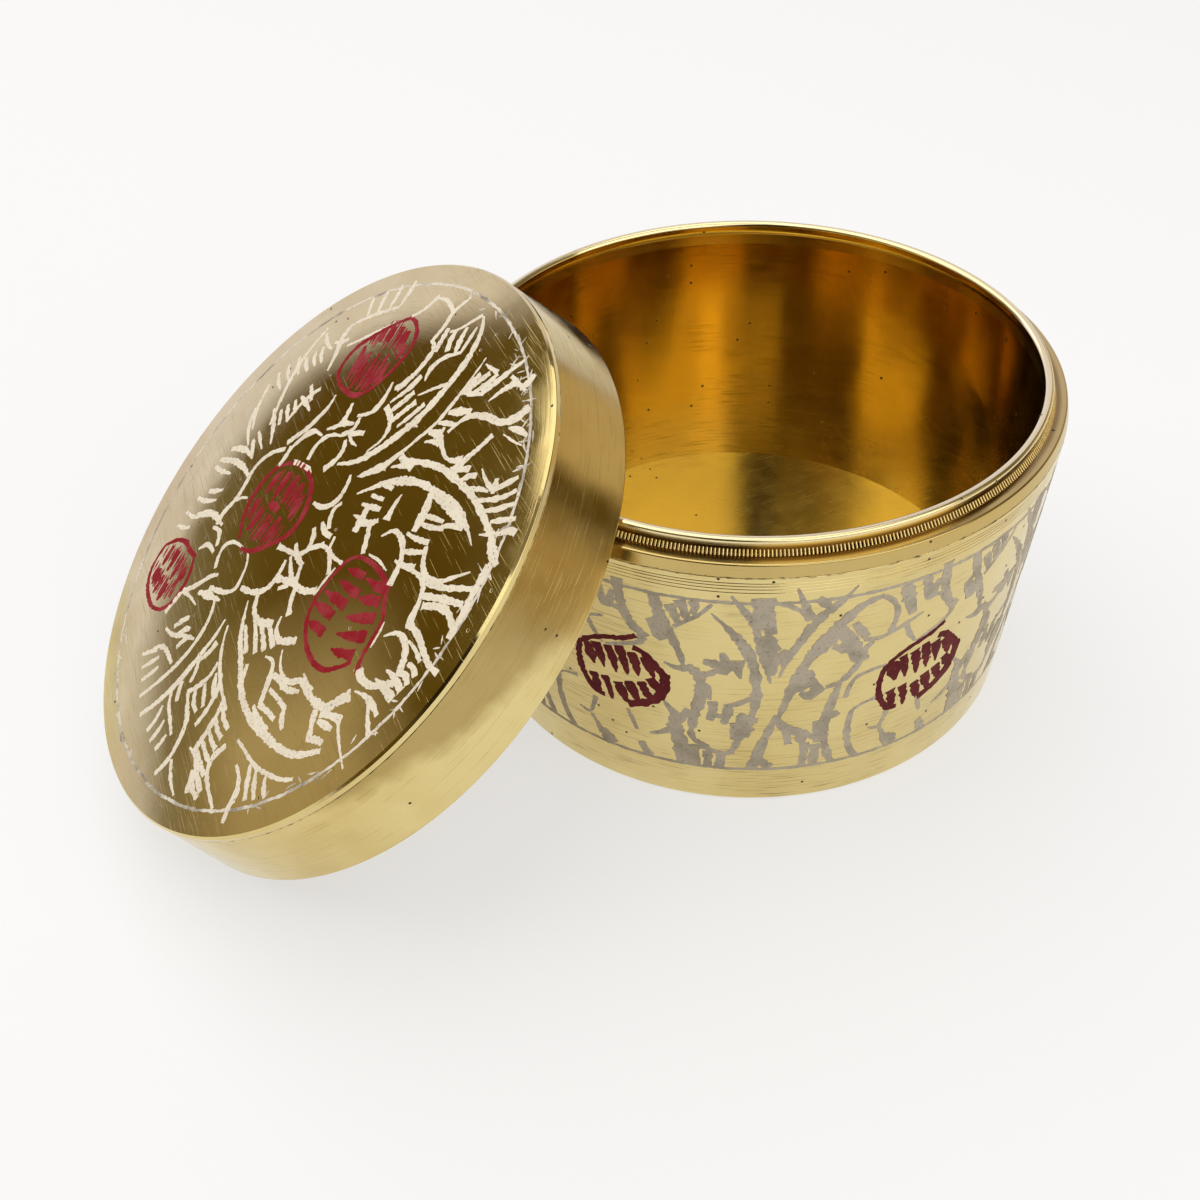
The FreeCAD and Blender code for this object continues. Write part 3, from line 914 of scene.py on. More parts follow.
@dataclass
class BoxBase:
    """The box: tapered wall, floor disc and the stepped ring with the milled neck.

    Sizes are in millimetres. A round is the radius of a rounded corner. A half is the radius at the table,
    and its growth with height, of a surface half way through the brass. The painted shade in the recess is
    placed from the foot of the neck.
    """

    shop: Workshop
    shoulder_radius: float = 42.0
    seam_height: float = 41.9
    seam_round: float = 0.12
    seam_step: float = 0.02
    foot_radius: float = 39.1
    foot_bevel: float = 0.5
    foot_rounds: Pair = (0.15, 0.25)
    wall_half: Pair = (38.03, 0.059)
    neck_half: Pair = (38.6, 0.0)
    bore_top: float = 39.0
    bore_foot: float = 37.1
    floor_radius: float = 38.0
    floor_top: float = 3.0
    ledge_radius: float = 41.6
    ledge_height: float = 43.6
    ledge_rounds: Pair = (0.25, 0.1)
    neck_radius: float = 39.65
    lip_height: float = 45.6
    lip_bore: float = 38.4
    lip_face: float = 1.4
    lip_rounds: tuple[float, ...] = (0.4, 0.6, 0.7, 0.4)
    # depth of the pale lip band, wear polish with a painted highlight
    lip_rubbed_highlight: float = 0.9
    recess_shade_place: Triple = (0.25, 0.3, 1.1)
    groove_heights: tuple[float, ...] = (39.6, 40.15, 40.65, 41.1)
    groove_depth: float = 0.045
    groove_width: float = 0.13
    bead_count: int = 540
    bead_thickness: float = 0.3
    bead_length: float = 0.8
    bead_lean: float = 40.0
    bead_sink: float = 0.1
    bead_sharp: float = 60.0
    bead_seed: int = 7
    # Darker brass of the floor: partly its own tone, partly painted shade for the dim floor deep in the box
    floor_tone_and_shade_colour: Colour = (0.60, 0.46, 0.15)
    # Darker brass of the stepped ring: partly tarnish, partly painted shade that tones down its bright
    # reflections
    neck_tarnish_and_shade_colour: Colour = (0.58, 0.43, 0.16)
    # Paler brass of the beads: partly polish, partly a painted highlight so that they read as catching the
    # light
    bead_polish_and_highlight_colour: Colour = (0.88, 0.69, 0.30)

    def wall_radius(self, height: float) -> float:
        """Returns the wall's outer radius at a height."""
        return self.foot_radius + (self.shoulder_radius - self.foot_radius) * height / self.seam_height

    def build(self) -> None:
        """Builds and dresses the pieces of the box."""
        seam = (self.shoulder_radius, self.seam_height)
        out, up, reach = self.recess_shade_place
        outside = BrassFinish(
            "turned_brass_wall", BASE_SEAT, Surface.WALL, inner_slope=self.wall_half, grime=(*seam, 0.4),
            dash_share=0.4, pit_share=0.05,
        )
        inside = BrassFinish(
            "bright_brass_floor", BASE_SEAT, Surface.PLATE, colour=self.floor_tone_and_shade_colour, tarnish_share=0.12,
            streak_share=0.1, pit_share=0.02, roughness=(0.2, 0.26), scratch_height=0.0015,
        )
        # The stepped ring gets painted shade round the recess between its neck and ledge
        ring = BrassFinish(
            "turned_brass_neck", BASE_SEAT, Surface.WALL, colour=self.neck_tarnish_and_shade_colour, inner_slope=self.neck_half,
            roughness=(0.14, 0.22), rubbed_highlight_above=self.lip_height - self.lip_rubbed_highlight, grime=(*seam, 0.5),
            recess=(self.neck_radius + out, self.ledge_height + up, reach),
        )
        bright = BrassFinish(
            "bright_brass_beads", BASE_SEAT, Surface.WALL, colour=self.bead_polish_and_highlight_colour, tarnish_share=0.15,
            streak_share=0.1, roughness=(0.22, 0.32), anisotropy=0.0, pit_share=0.0,
        )
        fitted(self.wall(outside.material()), Body.BASE, Slot.BRASS, "base_wall")
        fitted(self.floor(inside.material()), Body.BASE, Slot.BRASS, "base_floor")
        fitted(self.neck(ring.material()), Body.BASE, Slot.BRASS, "neck_ring")
        fitted(self.beads(bright.material()), Body.BASE, Slot.BRASS)

    def wall(self, finish: Material) -> Piece:
        """Turns the wall, with the fine grooves under its top edge.

        Args:
            finish: Its finish.

        Returns:
            The wall.
        """
        under, over = self.foot_rounds
        corners = [
            (self.floor_radius, 0.0, 0.0),
            (self.foot_radius - self.foot_bevel, 0.0, under),
            (self.wall_radius(self.foot_bevel), self.foot_bevel, over),
        ]
        half = self.groove_width / 2.0
        for height in self.groove_heights:
            corners += [
                (self.wall_radius(height - half), height - half, 0.0),
                (self.wall_radius(height) - self.groove_depth, height, 0.0),
                (self.wall_radius(height + half), height + half, 0.0),
            ]
        corners += [
            (self.shoulder_radius - self.seam_step, self.seam_height, self.seam_round),
            (self.bore_top, self.seam_height, 0.0),
            (self.bore_foot, self.floor_top, 0.0),
            (self.floor_radius, self.floor_top, 0.0),
        ]
        return self.shop.turn("wall_shell", rounded(corners), BASE_SEAT, finish)

    def floor(self, finish: Material) -> Piece:
        """Returns the plain floor disc."""
        rim = ((self.floor_radius, 0.0), (self.floor_radius, self.floor_top))
        return self.shop.turn("floor_disc", [(0.0, 0.0), *rim, (0.0, self.floor_top)], BASE_SEAT, finish)

    def neck(self, finish: Material) -> Piece:
        """Turns the stepped ring: shoulder bevel, ledge, neck and lip.

        Args:
            finish: Its finish.

        Returns:
            The ring.
        """
        outer, inner = self.ledge_rounds
        top_outer, top_inner, face_foot, bore = self.lip_rounds
        corners = [
            (self.bore_top, self.seam_height, 0.0),
            (self.shoulder_radius, self.seam_height, self.seam_round),
            (self.ledge_radius, self.ledge_height, outer),
            (self.neck_radius, self.ledge_height, inner),
            (self.neck_radius, self.lip_height, top_outer),
            (self.lip_bore, self.lip_height, top_inner),
            (self.lip_bore, self.lip_height - self.lip_face, face_foot),
            (self.bore_top, self.ledge_height, bore),
        ]
        return self.shop.turn("stepped_neck", rounded(corners), BASE_SEAT, finish)

    def beads(self, finish: Material) -> Piece:
        """Mills the fine beads round the foot of the neck.

        Args:
            finish: Their finish.

        Returns:
            The beads.
        """
        reach = 0.5 * self.bead_length * math.sin(math.radians(self.bead_lean))
        rise = 0.5 * self.bead_length * math.cos(math.radians(self.bead_lean))
        piece = grown("milled_beads", bpy.data.meshes.new("bead_seed"), milled_tree(), {
            "Count": self.bead_count,
            "Radius": (self.neck_radius + reach - self.bead_sink) * MM,
            "Level": (self.ledge_height + rise) * MM,
            "Thickness": self.bead_thickness * MM,
            "Length": self.bead_length * MM,
            "Lean": math.radians(self.bead_lean),
            "Seed": self.bead_seed,
            "Finish": finish,
        })
        return settled(piece, BASE_SEAT, self.bead_sharp)


@dataclass
class BoxLid:
    """The lid: a flared skirt and a crowned plate, drawn upright on the lid's own seat.

    Sizes are in millimetres. A round is the radius of a rounded corner.
    """

    shop: Workshop
    mouth_radius: float = 42.25
    mouth_land: float = 0.7
    mouth_flare: float = 1.6
    mouth_rounds: tuple[float, ...] = (0.1, 0.2, 0.3)
    skirt_height: float = 10.6
    bore_radius: float = 39.9
    plate_radius: float = 40.75
    plate_edge_top: float = 11.6
    plate_bevel: float = 0.3
    plate_round: float = 0.15
    seam_round: float = 0.08
    plate_crown: float = 1.0
    crown_steps: int = 24

    def crown_radius(self) -> float:
        """Returns the radius of the plate's crown."""
        edge = self.plate_radius - self.plate_bevel
        return (edge ** 2 + self.plate_crown ** 2) / (2.0 * self.plate_crown)

    def crown_centre(self) -> float:
        """Returns the height of the crown's centre over the lid's open edge."""
        return self.plate_edge_top + self.plate_crown - self.crown_radius()

    def build(self) -> None:
        """Builds and dresses the pieces of the lid."""
        # The skirt's brown band is a painted dark reflection; its tarnish, streaks and seam grime are real
        # soiling
        skirt = BrassFinish(
            "turned_brass_skirt", LID_SEAT, Surface.WALL, grime=(self.plate_radius, self.skirt_height, 0.25),
            dent_height=0.08, line_height=0.006, line_rate=2.5, scratch_height=0.005, tarnish_share=0.6,
            streak_share=0.6, painted_reflection_share=0.68,
        )
        plate = BrassFinish(
            "rubbed_brass_plate", LID_SEAT, Surface.PLATE, roughness=(0.04, 0.09), anisotropy=0.2,
            line_height=0.0012, scratch_height=0.003, dent_height=0.012,
        )
        fitted(self.skirt(skirt.material()), Body.LID, Slot.BRASS, "lid_skirt")
        fitted(self.plate(plate.material()), Body.LID, Slot.BRASS, "lid_plate")

    def skirt(self, finish: Material) -> Piece:
        """Turns the flared skirt.

        Args:
            finish: Its finish.

        Returns:
            The skirt.
        """
        inner, outer, flare = self.mouth_rounds
        corners = [
            (self.mouth_radius - self.mouth_land, 0.0, inner),
            (self.mouth_radius, 0.0, outer),
            (self.plate_radius, self.skirt_height, self.seam_round),
            (self.bore_radius, self.skirt_height, 0.0),
            (self.bore_radius, self.mouth_flare, flare),
        ]
        return self.shop.turn("lid_skirt_shell", rounded(corners), LID_SEAT, finish)

    def plate(self, finish: Material) -> Piece:
        """Turns the crowned plate.

        Args:
            finish: Its finish.

        Returns:
            The plate.
        """
        edge = self.plate_radius - self.plate_bevel
        corners = rounded([
            (0.0, self.skirt_height, 0.0),
            (self.plate_radius, self.skirt_height, self.seam_round),
            (self.plate_radius, self.plate_edge_top - self.plate_bevel, self.plate_round),
            (edge, self.plate_edge_top, 0.0),
        ])
        crown, centre = self.crown_radius(), self.crown_centre()
        for step in range(1, self.crown_steps + 1):
            radius = edge * (1.0 - step / self.crown_steps)
            corners.append((radius, centre + math.sqrt(crown ** 2 - radius ** 2)))
        return self.shop.turn("lid_plate_disc", corners, LID_SEAT, finish)


# Drawing of the lid's leaves and stems on a sheet 1200 units wide, centred on 600, 600, uphill at the top.
# Each cut has its width at its start, middle and end, and the points that it runs through.
LID_LEAF_CUTS: list[Cut] = [
    # Bare edge beside the right bud
    ((3, 7, 3), [(806, 492), (836, 480), (872, 473)]),
    ((4, 8, 4), [(766, 562), (770, 592), (778, 620)]),
    ((3, 6, 3), [(964, 514), (976, 534), (986, 556)]),
    # Crescent pair at the top
    ((6, 18, 18), [(528, 98), (560, 118), (590, 160), (609, 215), (617, 265), (620, 305)]),
    ((18, 18, 6), [(620, 300), (611, 355), (596, 405), (574, 446), (538, 480)]),
    ((8, 7, 3), [(616, 309), (626, 309), (637, 306)]),
    ((3, 10, 8), [(630, 135), (648, 185), (662, 235), (668, 275), (664, 320)]),
    ((7, 9, 18), [(664, 305), (661, 340), (655, 372), (652, 398)]),
    ((22, 16, 3), [(654, 392), (640, 415), (625, 438), (614, 453)]),
    # Hatching right of the top pair
    ((4, 8, 10), [(643, 141), (665, 137), (686, 131)]),
    ((12, 12, 10), [(672, 143), (668, 165), (664, 198)]),
    ((10, 14, 12), [(690, 132), (689, 160), (680, 185)]),
    ((8, 14, 12), [(714, 80), (708, 115), (703, 150), (697, 175)]),
    ((14, 14, 8), [(655, 158), (655, 180), (658, 207)]),
    ((6, 12, 8), [(655, 203), (675, 192), (705, 172)]),
    ((18, 12, 2), [(748, 110), (734, 140), (729, 172)]),
    ((8, 10, 5), [(722, 114), (748, 111), (778, 107)]),
    ((14, 18, 12), [(763, 80), (768, 95), (764, 114)]),
    ((20, 14, 9), [(819, 116), (816, 145), (797, 172), (762, 186), (728, 208), (715, 232), (712, 262)]),
    ((6, 14, 3), [(870, 146), (845, 153), (821, 166)]),
    ((2, 5, 2), [(824, 179), (850, 173), (881, 162)]),
    ((13, 12, 13), [(806, 195), (806, 225), (803, 258)]),
    ((10, 18, 10), [(672, 243), (692, 225), (716, 206)]),
    ((8, 12, 10), [(672, 268), (692, 255), (712, 243)]),
    ((8, 20, 12), [(672, 292), (700, 278), (734, 284)]),
    ((3, 10, 8), [(685, 308), (702, 293), (722, 286)]),
    ((8, 10, 8), [(695, 262), (703, 275), (718, 280)]),
    ((8, 8, 14), [(735, 283), (758, 287), (780, 279), (796, 262)]),
    # Upper crescent pair on the right, with its comb against the border
    ((12, 15, 13), [(690, 352), (730, 325), (775, 302), (820, 290), (870, 280), (920, 277), (995, 282)]),
    ((14, 18, 14), [(665, 358), (690, 356), (716, 350)]),
    ((3, 10, 12), [(669, 385), (683, 370), (702, 358)]),
    ((3, 10, 14), [(969, 299), (985, 285), (1000, 270), (1012, 252), (1026, 244)]),
    ((12, 20, 14), [(985, 278), (1015, 292), (1051, 298)]),
    ((8, 6, 3), [(1035, 305), (1050, 314), (1067, 317)]),
    ((14, 16, 12), [(796, 290), (803, 270), (803, 252)]),
    ((8, 12, 12), [(808, 286), (817, 270), (831, 259)]),
    ((8, 14, 11), [(835, 284), (843, 266), (856, 254)]),
    ((12, 10, 7), [(868, 277), (884, 263), (906, 250)]),
    ((3, 14, 10), [(852, 240), (885, 244), (911, 240), (924, 216), (932, 194)]),
    ((10, 14, 8), [(898, 226), (908, 236), (918, 246)]),
    ((8, 12, 9), [(904, 273), (926, 253), (944, 230), (952, 207)]),
    ((8, 12, 9), [(935, 273), (955, 250), (972, 222)]),
    ((8, 12, 9), [(965, 273), (985, 250), (1001, 233)]),
    ((3, 18, 14), [(652, 467), (672, 437), (695, 402), (735, 367), (775, 343), (806, 334)]),
    ((14, 16, 2), [(798, 336), (850, 318), (895, 310), (935, 312), (977, 318)]),
    ((14, 18, 10), [(812, 336), (850, 326), (900, 318), (930, 316)]),
    ((14, 22, 18), [(806, 340), (828, 362), (838, 380), (848, 398)]),
    ((10, 12, 6), [(931, 318), (908, 332), (888, 350)]),
    ((9, 11, 8), [(838, 366), (862, 353), (884, 343)]),
    ((9, 13, 9), [(846, 380), (873, 366), (898, 348)]),
    ((5, 12, 11), [(838, 410), (866, 400), (897, 382)]),
    ((4, 12, 19), [(750, 389), (757, 410), (771, 436)]),
    ((12, 14, 10), [(690, 412), (706, 404), (720, 400)]),
    ((8, 10, 12), [(688, 441), (708, 432), (723, 424)]),
    ((6, 12, 12), [(686, 466), (713, 451), (737, 437)]),
    ((12, 18, 20), [(702, 453), (718, 476), (730, 501)]),
    ((3, 8, 12), [(691, 489), (710, 481), (727, 474)]),
    ((12, 14, 10), [(722, 482), (745, 466), (756, 449)]),
    ((8, 14, 15), [(743, 464), (765, 480), (793, 502)]),
    ((4, 14, 10), [(794, 456), (808, 430), (835, 424), (862, 430), (886, 447)]),
    ((11, 14, 14), [(884, 446), (895, 462), (906, 480)]),
    ((10, 12, 10), [(866, 431), (885, 416), (903, 400)]),
    ((5, 13, 12), [(868, 452), (895, 441), (918, 424)]),
    ((10, 14, 3), [(899, 389), (925, 408), (955, 413), (985, 398), (1003, 370), (1021, 341)]),
    ((8, 12, 16), [(905, 438), (935, 425), (965, 424), (986, 440), (1000, 462), (1016, 480)]),
    # Combs and cells along the right of the border
    ((8, 12, 11), [(966, 419), (1005, 393), (1052, 352)]),
    ((12, 14, 12), [(985, 432), (1020, 405), (1063, 378)]),
    ((14, 15, 10), [(1000, 442), (1030, 415), (1060, 406), (1100, 414)]),
    ((16, 15, 14), [(1040, 308), (1060, 352), (1085, 395), (1098, 425)]),
    ((14, 12, 12), [(1010, 474), (1050, 469), (1105, 474), (1138, 466)]),
    ((4, 8, 9), [(1038, 488), (1062, 484), (1092, 485)]),
    ((4, 14, 15), [(988, 526), (1005, 502), (1030, 494), (1058, 505), (1080, 530)]),
    ((8, 12, 12), [(1076, 506), (1092, 500), (1108, 503)]),
    ((8, 14, 14), [(1074, 530), (1090, 518), (1110, 522)]),
    ((3, 12, 18), [(1051, 545), (1074, 538), (1110, 536)]),
    ((16, 14, 14), [(1005, 590), (1022, 594), (1050, 584), (1068, 565), (1086, 542)]),
    ((3, 14, 20), [(1048, 569), (1075, 562), (1110, 556)]),
    ((3, 14, 10), [(1035, 613), (1062, 598), (1090, 592), (1113, 592)]),
    ((6, 10, 12), [(1080, 598), (1100, 608), (1132, 620)]),
    ((22, 16, 16), [(1035, 622), (1025, 648), (1014, 676), (980, 693)]),
    ((11, 14, 16), [(1016, 690), (1035, 672), (1063, 656)]),
    ((10, 7, 3), [(1058, 660), (1085, 671), (1146, 684)]),
    ((10, 13, 11), [(1024, 698), (1045, 687), (1062, 679)]),
    ((14, 15, 14), [(1000, 694), (1020, 711), (1043, 728)]),
    ((11, 14, 11), [(1040, 728), (1054, 713), (1071, 704)]),
    # Twigs between the two middle buds
    ((8, 14, 9), [(595, 464), (612, 480), (622, 503), (618, 525), (600, 545), (572, 556)]),
    ((8, 12, 11), [(640, 501), (636, 520), (648, 535), (668, 547)]),
    ((8, 14, 12), [(638, 553), (665, 556), (690, 547)]),
    ((6, 9, 12), [(698, 540), (707, 552), (716, 566)]),
    ((12, 10, 7), [(716, 562), (745, 556), (775, 545)]),
    ((9, 14, 11), [(632, 573), (652, 582), (667, 600), (658, 622)]),
    ((11, 11, 12), [(692, 566), (680, 583), (664, 602)]),
    ((10, 9, 12), [(664, 602), (686, 575), (714, 562), (740, 568), (764, 579)]),
    ((7, 14, 12), [(626, 620), (655, 627), (690, 624)]),
    ((14, 10, 10), [(590, 658), (622, 643), (655, 626)]),
    ((7, 12, 13), [(642, 640), (685, 652), (720, 650)]),
    ((9, 11, 12), [(688, 626), (702, 640), (720, 652)]),
    ((13, 13, 17), [(715, 653), (748, 638), (773, 615)]),
    ((13, 14, 14), [(722, 652), (743, 671), (767, 684)]),
    ((16, 14, 10), [(655, 688), (690, 664), (720, 650)]),
    ((9, 10, 8), [(686, 688), (694, 676), (704, 664)]),
    ((8, 14, 12), [(640, 652), (655, 675), (661, 700), (655, 722), (632, 746), (596, 766)]),
    ((10, 15, 15), [(652, 733), (678, 751), (706, 752), (728, 740), (750, 721)]),
    # Comb right of the lower middle, and the cells under the right bud
    ((8, 14, 13), [(736, 730), (766, 732), (800, 737)]),
    ((7, 13, 12), [(722, 745), (756, 750), (788, 757)]),
    ((7, 12, 12), [(706, 757), (740, 765), (774, 777)]),
    ((7, 12, 12), [(692, 780), (720, 786), (754, 797)]),
    ((5, 14, 15), [(754, 699), (770, 718), (798, 720), (818, 703), (834, 686)]),
    ((4, 12, 14), [(824, 719), (850, 733), (880, 735), (905, 722), (922, 703), (950, 700), (985, 692)]),
    ((10, 18, 8), [(850, 756), (880, 743), (910, 736), (938, 714)]),
    ((3, 9, 9), [(912, 693), (936, 694), (960, 688)]),
    ((4, 14, 13), [(803, 758), (828, 746), (850, 758), (868, 778), (888, 799)]),
    ((7, 10, 12), [(876, 770), (908, 760), (943, 752)]),
    ((8, 14, 8), [(938, 750), (955, 764), (976, 770)]),
    ((13, 12, 12), [(884, 801), (912, 789), (943, 779)]),
    # Lower crescent pair on the right
    ((3, 14, 16), [(643, 758), (672, 778), (710, 798), (760, 812), (810, 826)]),
    ((16, 17, 10), [(802, 825), (850, 831), (905, 824), (960, 806), (1010, 785), (1048, 757), (1080, 712)]),
    ((6, 16, 12), [(876, 812), (905, 812), (950, 802)]),
    ((10, 10, 9), [(780, 800), (795, 812), (806, 824)]),
    ((5, 10, 8), [(652, 818), (680, 840), (725, 861), (775, 870), (830, 873)]),
    ((7, 9, 8), [(912, 865), (945, 857), (985, 848), (1022, 830), (1062, 803), (1082, 780)]),
    ((9, 13, 10), [(982, 852), (1008, 870), (1036, 886)]),
    ((8, 12, 9), [(1002, 844), (1024, 857), (1050, 868)]),
    ((7, 12, 9), [(1030, 830), (1046, 840), (1066, 846)]),
    ((6, 14, 10), [(956, 882), (982, 884), (1008, 898), (1017, 920), (1036, 944)]),
    ((10, 12, 11), [(1000, 892), (1008, 905), (1020, 912)]),
    ((15, 12, 8), [(899, 893), (896, 925), (912, 948), (945, 955), (992, 957)]),
    ((10, 14, 13), [(803, 872), (822, 900), (834, 932), (844, 966)]),
    ((8, 12, 10), [(815, 878), (842, 882), (872, 879)]),
    ((8, 12, 12), [(826, 900), (852, 903), (876, 899)]),
    ((8, 12, 12), [(834, 921), (862, 922), (886, 917)]),
    ((8, 11, 10), [(840, 942), (868, 942), (898, 938)]),
    ((8, 12, 12), [(846, 958), (880, 959), (914, 957)]),
    ((4, 13, 13), [(828, 973), (860, 966), (900, 972), (937, 974)]),
    ((10, 13, 12), [(892, 980), (918, 990), (942, 984)]),
    ((10, 13, 14), [(880, 978), (898, 994), (912, 1005)]),
    # Crescents at the foot
    ((6, 16, 10), [(632, 820), (645, 855), (652, 895), (658, 940), (660, 985), (652, 1040), (640, 1078)]),
    ((8, 13, 8), [(556, 830), (584, 850), (604, 882), (615, 925), (616, 970), (608, 1020), (596, 1070)]),
    ((8, 12, 13), [(711, 862), (722, 890), (716, 925), (704, 950)]),
    ((14, 14, 10), [(664, 852), (668, 880), (662, 905)]),
    ((8, 13, 12), [(730, 872), (752, 884), (777, 892)]),
    ((10, 12, 10), [(742, 862), (762, 872), (782, 890)]),
    ((8, 12, 10), [(728, 903), (752, 914), (772, 922)]),
    ((8, 13, 10), [(722, 930), (745, 941), (768, 940)]),
    ((10, 12, 10), [(776, 890), (788, 915), (794, 950)]),
    ((9, 14, 10), [(704, 946), (735, 957), (763, 966), (786, 988), (800, 1014)]),
    ((7, 10, 8), [(664, 985), (690, 1000), (722, 1005), (760, 1010)]),
    ((10, 12, 10), [(800, 1010), (806, 1035), (806, 1070)]),
    ((7, 10, 5), [(812, 1022), (850, 1034), (890, 1036)]),
    ((10, 12, 9), [(662, 905), (680, 920), (690, 938)]),
    ((9, 13, 9), [(668, 955), (684, 970), (700, 980)]),
    ((8, 12, 9), [(676, 1015), (690, 1040), (694, 1068)]),
    ((8, 12, 9), [(712, 1020), (722, 1042), (724, 1066)]),
    ((8, 12, 9), [(748, 1022), (754, 1040), (754, 1058)]),
    # Ring cell and twigs left of the foot
    ((6, 11, 10), [(505, 736), (468, 751), (450, 775), (460, 797), (482, 812)]),
    ((6, 10, 12), [(528, 728), (553, 737), (572, 757), (584, 779), (570, 802), (545, 820), (515, 838)]),
    ((8, 14, 12), [(506, 809), (488, 832), (478, 858), (464, 886), (448, 906)]),
    ((8, 14, 11), [(448, 902), (452, 930), (456, 962)]),
    ((5, 18, 7), [(574, 821), (545, 838), (515, 854), (496, 867)]),
    ((10, 8, 3), [(456, 902), (488, 889), (522, 881)]),
    ((12, 14, 8), [(518, 946), (527, 918), (536, 903)]),
    ((10, 13, 7), [(546, 944), (554, 920), (566, 908)]),
    ((10, 13, 7), [(574, 952), (578, 925), (586, 910)]),
    ((6, 12, 8), [(498, 968), (532, 955), (562, 930), (600, 904)]),
    ((8, 12, 8), [(516, 1010), (530, 990), (556, 978), (600, 972)]),
    ((9, 12, 8), [(500, 1042), (516, 1018), (530, 1000)]),
    ((9, 12, 8), [(532, 1050), (544, 1022), (552, 1000)]),
    ((9, 12, 8), [(562, 1058), (570, 1030), (574, 1006)]),
    # Left side: arc beside the middle bud, crescents and big leaves
    ((10, 12, 15), [
        (362, 574), (337, 602), (325, 635), (328, 662), (345, 690), (357, 722), (358, 756), (370, 782),
    ]),
    ((5, 8, 10), [(388, 692), (372, 704), (362, 718)]),
    ((14, 13, 10), [(374, 558), (387, 588), (389, 614)]),
    ((8, 14, 4), [(212, 568), (255, 580), (306, 603)]),
    ((6, 11, 3), [(232, 620), (262, 623), (293, 626)]),
    ((10, 15, 4), [(238, 639), (263, 646), (292, 655)]),
    ((10, 17, 4), [(198, 697), (224, 676), (254, 661), (287, 655)]),
    ((10, 18, 7), [(194, 731), (240, 700), (288, 681), (332, 675)]),
    ((8, 13, 6), [(198, 748), (234, 735), (268, 716)]),
    ((9, 13, 5), [(252, 780), (272, 764), (292, 744)]),
    ((8, 13, 5), [(236, 812), (268, 796), (300, 768)]),
    ((16, 16, 8), [(284, 826), (320, 790), (355, 776), (388, 769)]),
    ((7, 11, 11), [(366, 792), (398, 780), (428, 795)]),
    ((6, 13, 8), [(384, 842), (398, 816), (435, 807)]),
    ((7, 12, 6), [(240, 850), (272, 838), (296, 822)]),
    ((7, 12, 6), [(252, 880), (276, 868), (296, 850)]),
    ((8, 12, 6), [(150, 610), (188, 640), (240, 655)]),
    ((8, 12, 6), [(122, 560), (158, 606), (205, 634)]),
    # Upper left: comb, fan of leaves and cells round the upper bud
    ((8, 13, 9), [(258, 469), (280, 474), (302, 483)]),
    ((6, 14, 3), [(260, 499), (290, 495), (327, 493)]),
    ((8, 13, 8), [(254, 514), (270, 520), (290, 526)]),
    ((8, 13, 8), [(244, 534), (264, 541), (286, 549)]),
    ((8, 12, 8), [(238, 553), (256, 560), (276, 570)]),
    ((12, 11, 8), [(296, 452), (286, 478), (282, 510), (288, 552)]),
    ((14, 18, 6), [(204, 334), (213, 365), (240, 391), (264, 424)]),
    ((9, 12, 6), [(236, 352), (222, 372), (202, 384)]),
    ((6, 10, 5), [(150, 392), (178, 400), (214, 396)]),
    ((8, 12, 6), [(182, 410), (200, 424), (222, 428)]),
    ((8, 12, 6), [(172, 430), (190, 442), (212, 446)]),
    ((8, 12, 6), [(160, 455), (182, 464), (204, 466)]),
    ((8, 11, 6), [(136, 470), (160, 482), (186, 488)]),
    ((8, 11, 6), [(126, 500), (150, 510), (178, 514)]),
    ((8, 11, 6), [(118, 530), (146, 538), (174, 540)]),
    ((8, 14, 9), [(138, 385), (146, 440), (165, 490), (205, 545), (248, 590)]),
    ((3, 8, 6), [(346, 224), (310, 270), (276, 325), (250, 362)]),
    ((12, 10, 7), [(368, 148), (365, 185), (349, 217)]),
    ((8, 13, 6), [(262, 172), (276, 196), (290, 228)]),
    ((8, 13, 6), [(236, 200), (252, 222), (266, 248)]),
    ((8, 13, 6), [(210, 232), (226, 252), (244, 274)]),
    ((7, 11, 6), [(188, 266), (206, 282), (226, 298)]),
    ((8, 10, 6), [(290, 228), (258, 262), (226, 300), (204, 334)]),
    ((5, 14, 10), [(452, 97), (446, 140), (458, 166), (466, 202)]),
    ((6, 9, 12), [(372, 152), (400, 140), (446, 141)]),
    ((9, 15, 12), [(462, 203), (488, 208), (500, 230), (506, 262), (503, 290), (494, 312)]),
    ((5, 16, 6), [(473, 309), (488, 332), (497, 355), (493, 378), (469, 403)]),
    ((9, 8, 5), [(498, 290), (510, 284), (505, 310)]),
    ((10, 8, 6), [(524, 98), (512, 125), (503, 148), (487, 166)]),
    ((12, 15, 11), [(475, 165), (489, 190), (501, 210)]),
    ((9, 15, 10), [(497, 153), (511, 175), (528, 190)]),
    ((8, 15, 10), [(517, 134), (532, 158), (549, 177)]),
    ((5, 12, 6), [(538, 119), (552, 145), (563, 172)]),
    ((7, 15, 3), [(560, 171), (538, 198), (531, 225), (537, 243), (547, 254)]),
    ((10, 8, 3), [(603, 221), (585, 247), (564, 279)]),
    ((12, 15, 4), [(527, 254), (528, 285), (517, 333)]),
    ((12, 14, 10), [(549, 281), (545, 310), (540, 337)]),
    ((14, 14, 11), [(576, 287), (570, 315), (565, 346)]),
    ((10, 12, 6), [(600, 274), (597, 305), (590, 342)]),
    ((13, 12, 3), [(516, 343), (555, 345), (577, 360), (585, 382), (578, 417)]),
    ((10, 14, 10), [(480, 400), (492, 424), (476, 450)]),
    ((10, 12, 14), [(494, 436), (512, 417), (529, 405)]),
    ((3, 9, 11), [(541, 430), (515, 436), (492, 430)]),
    ((9, 16, 6), [(424, 401), (442, 424), (445, 446), (424, 473)]),
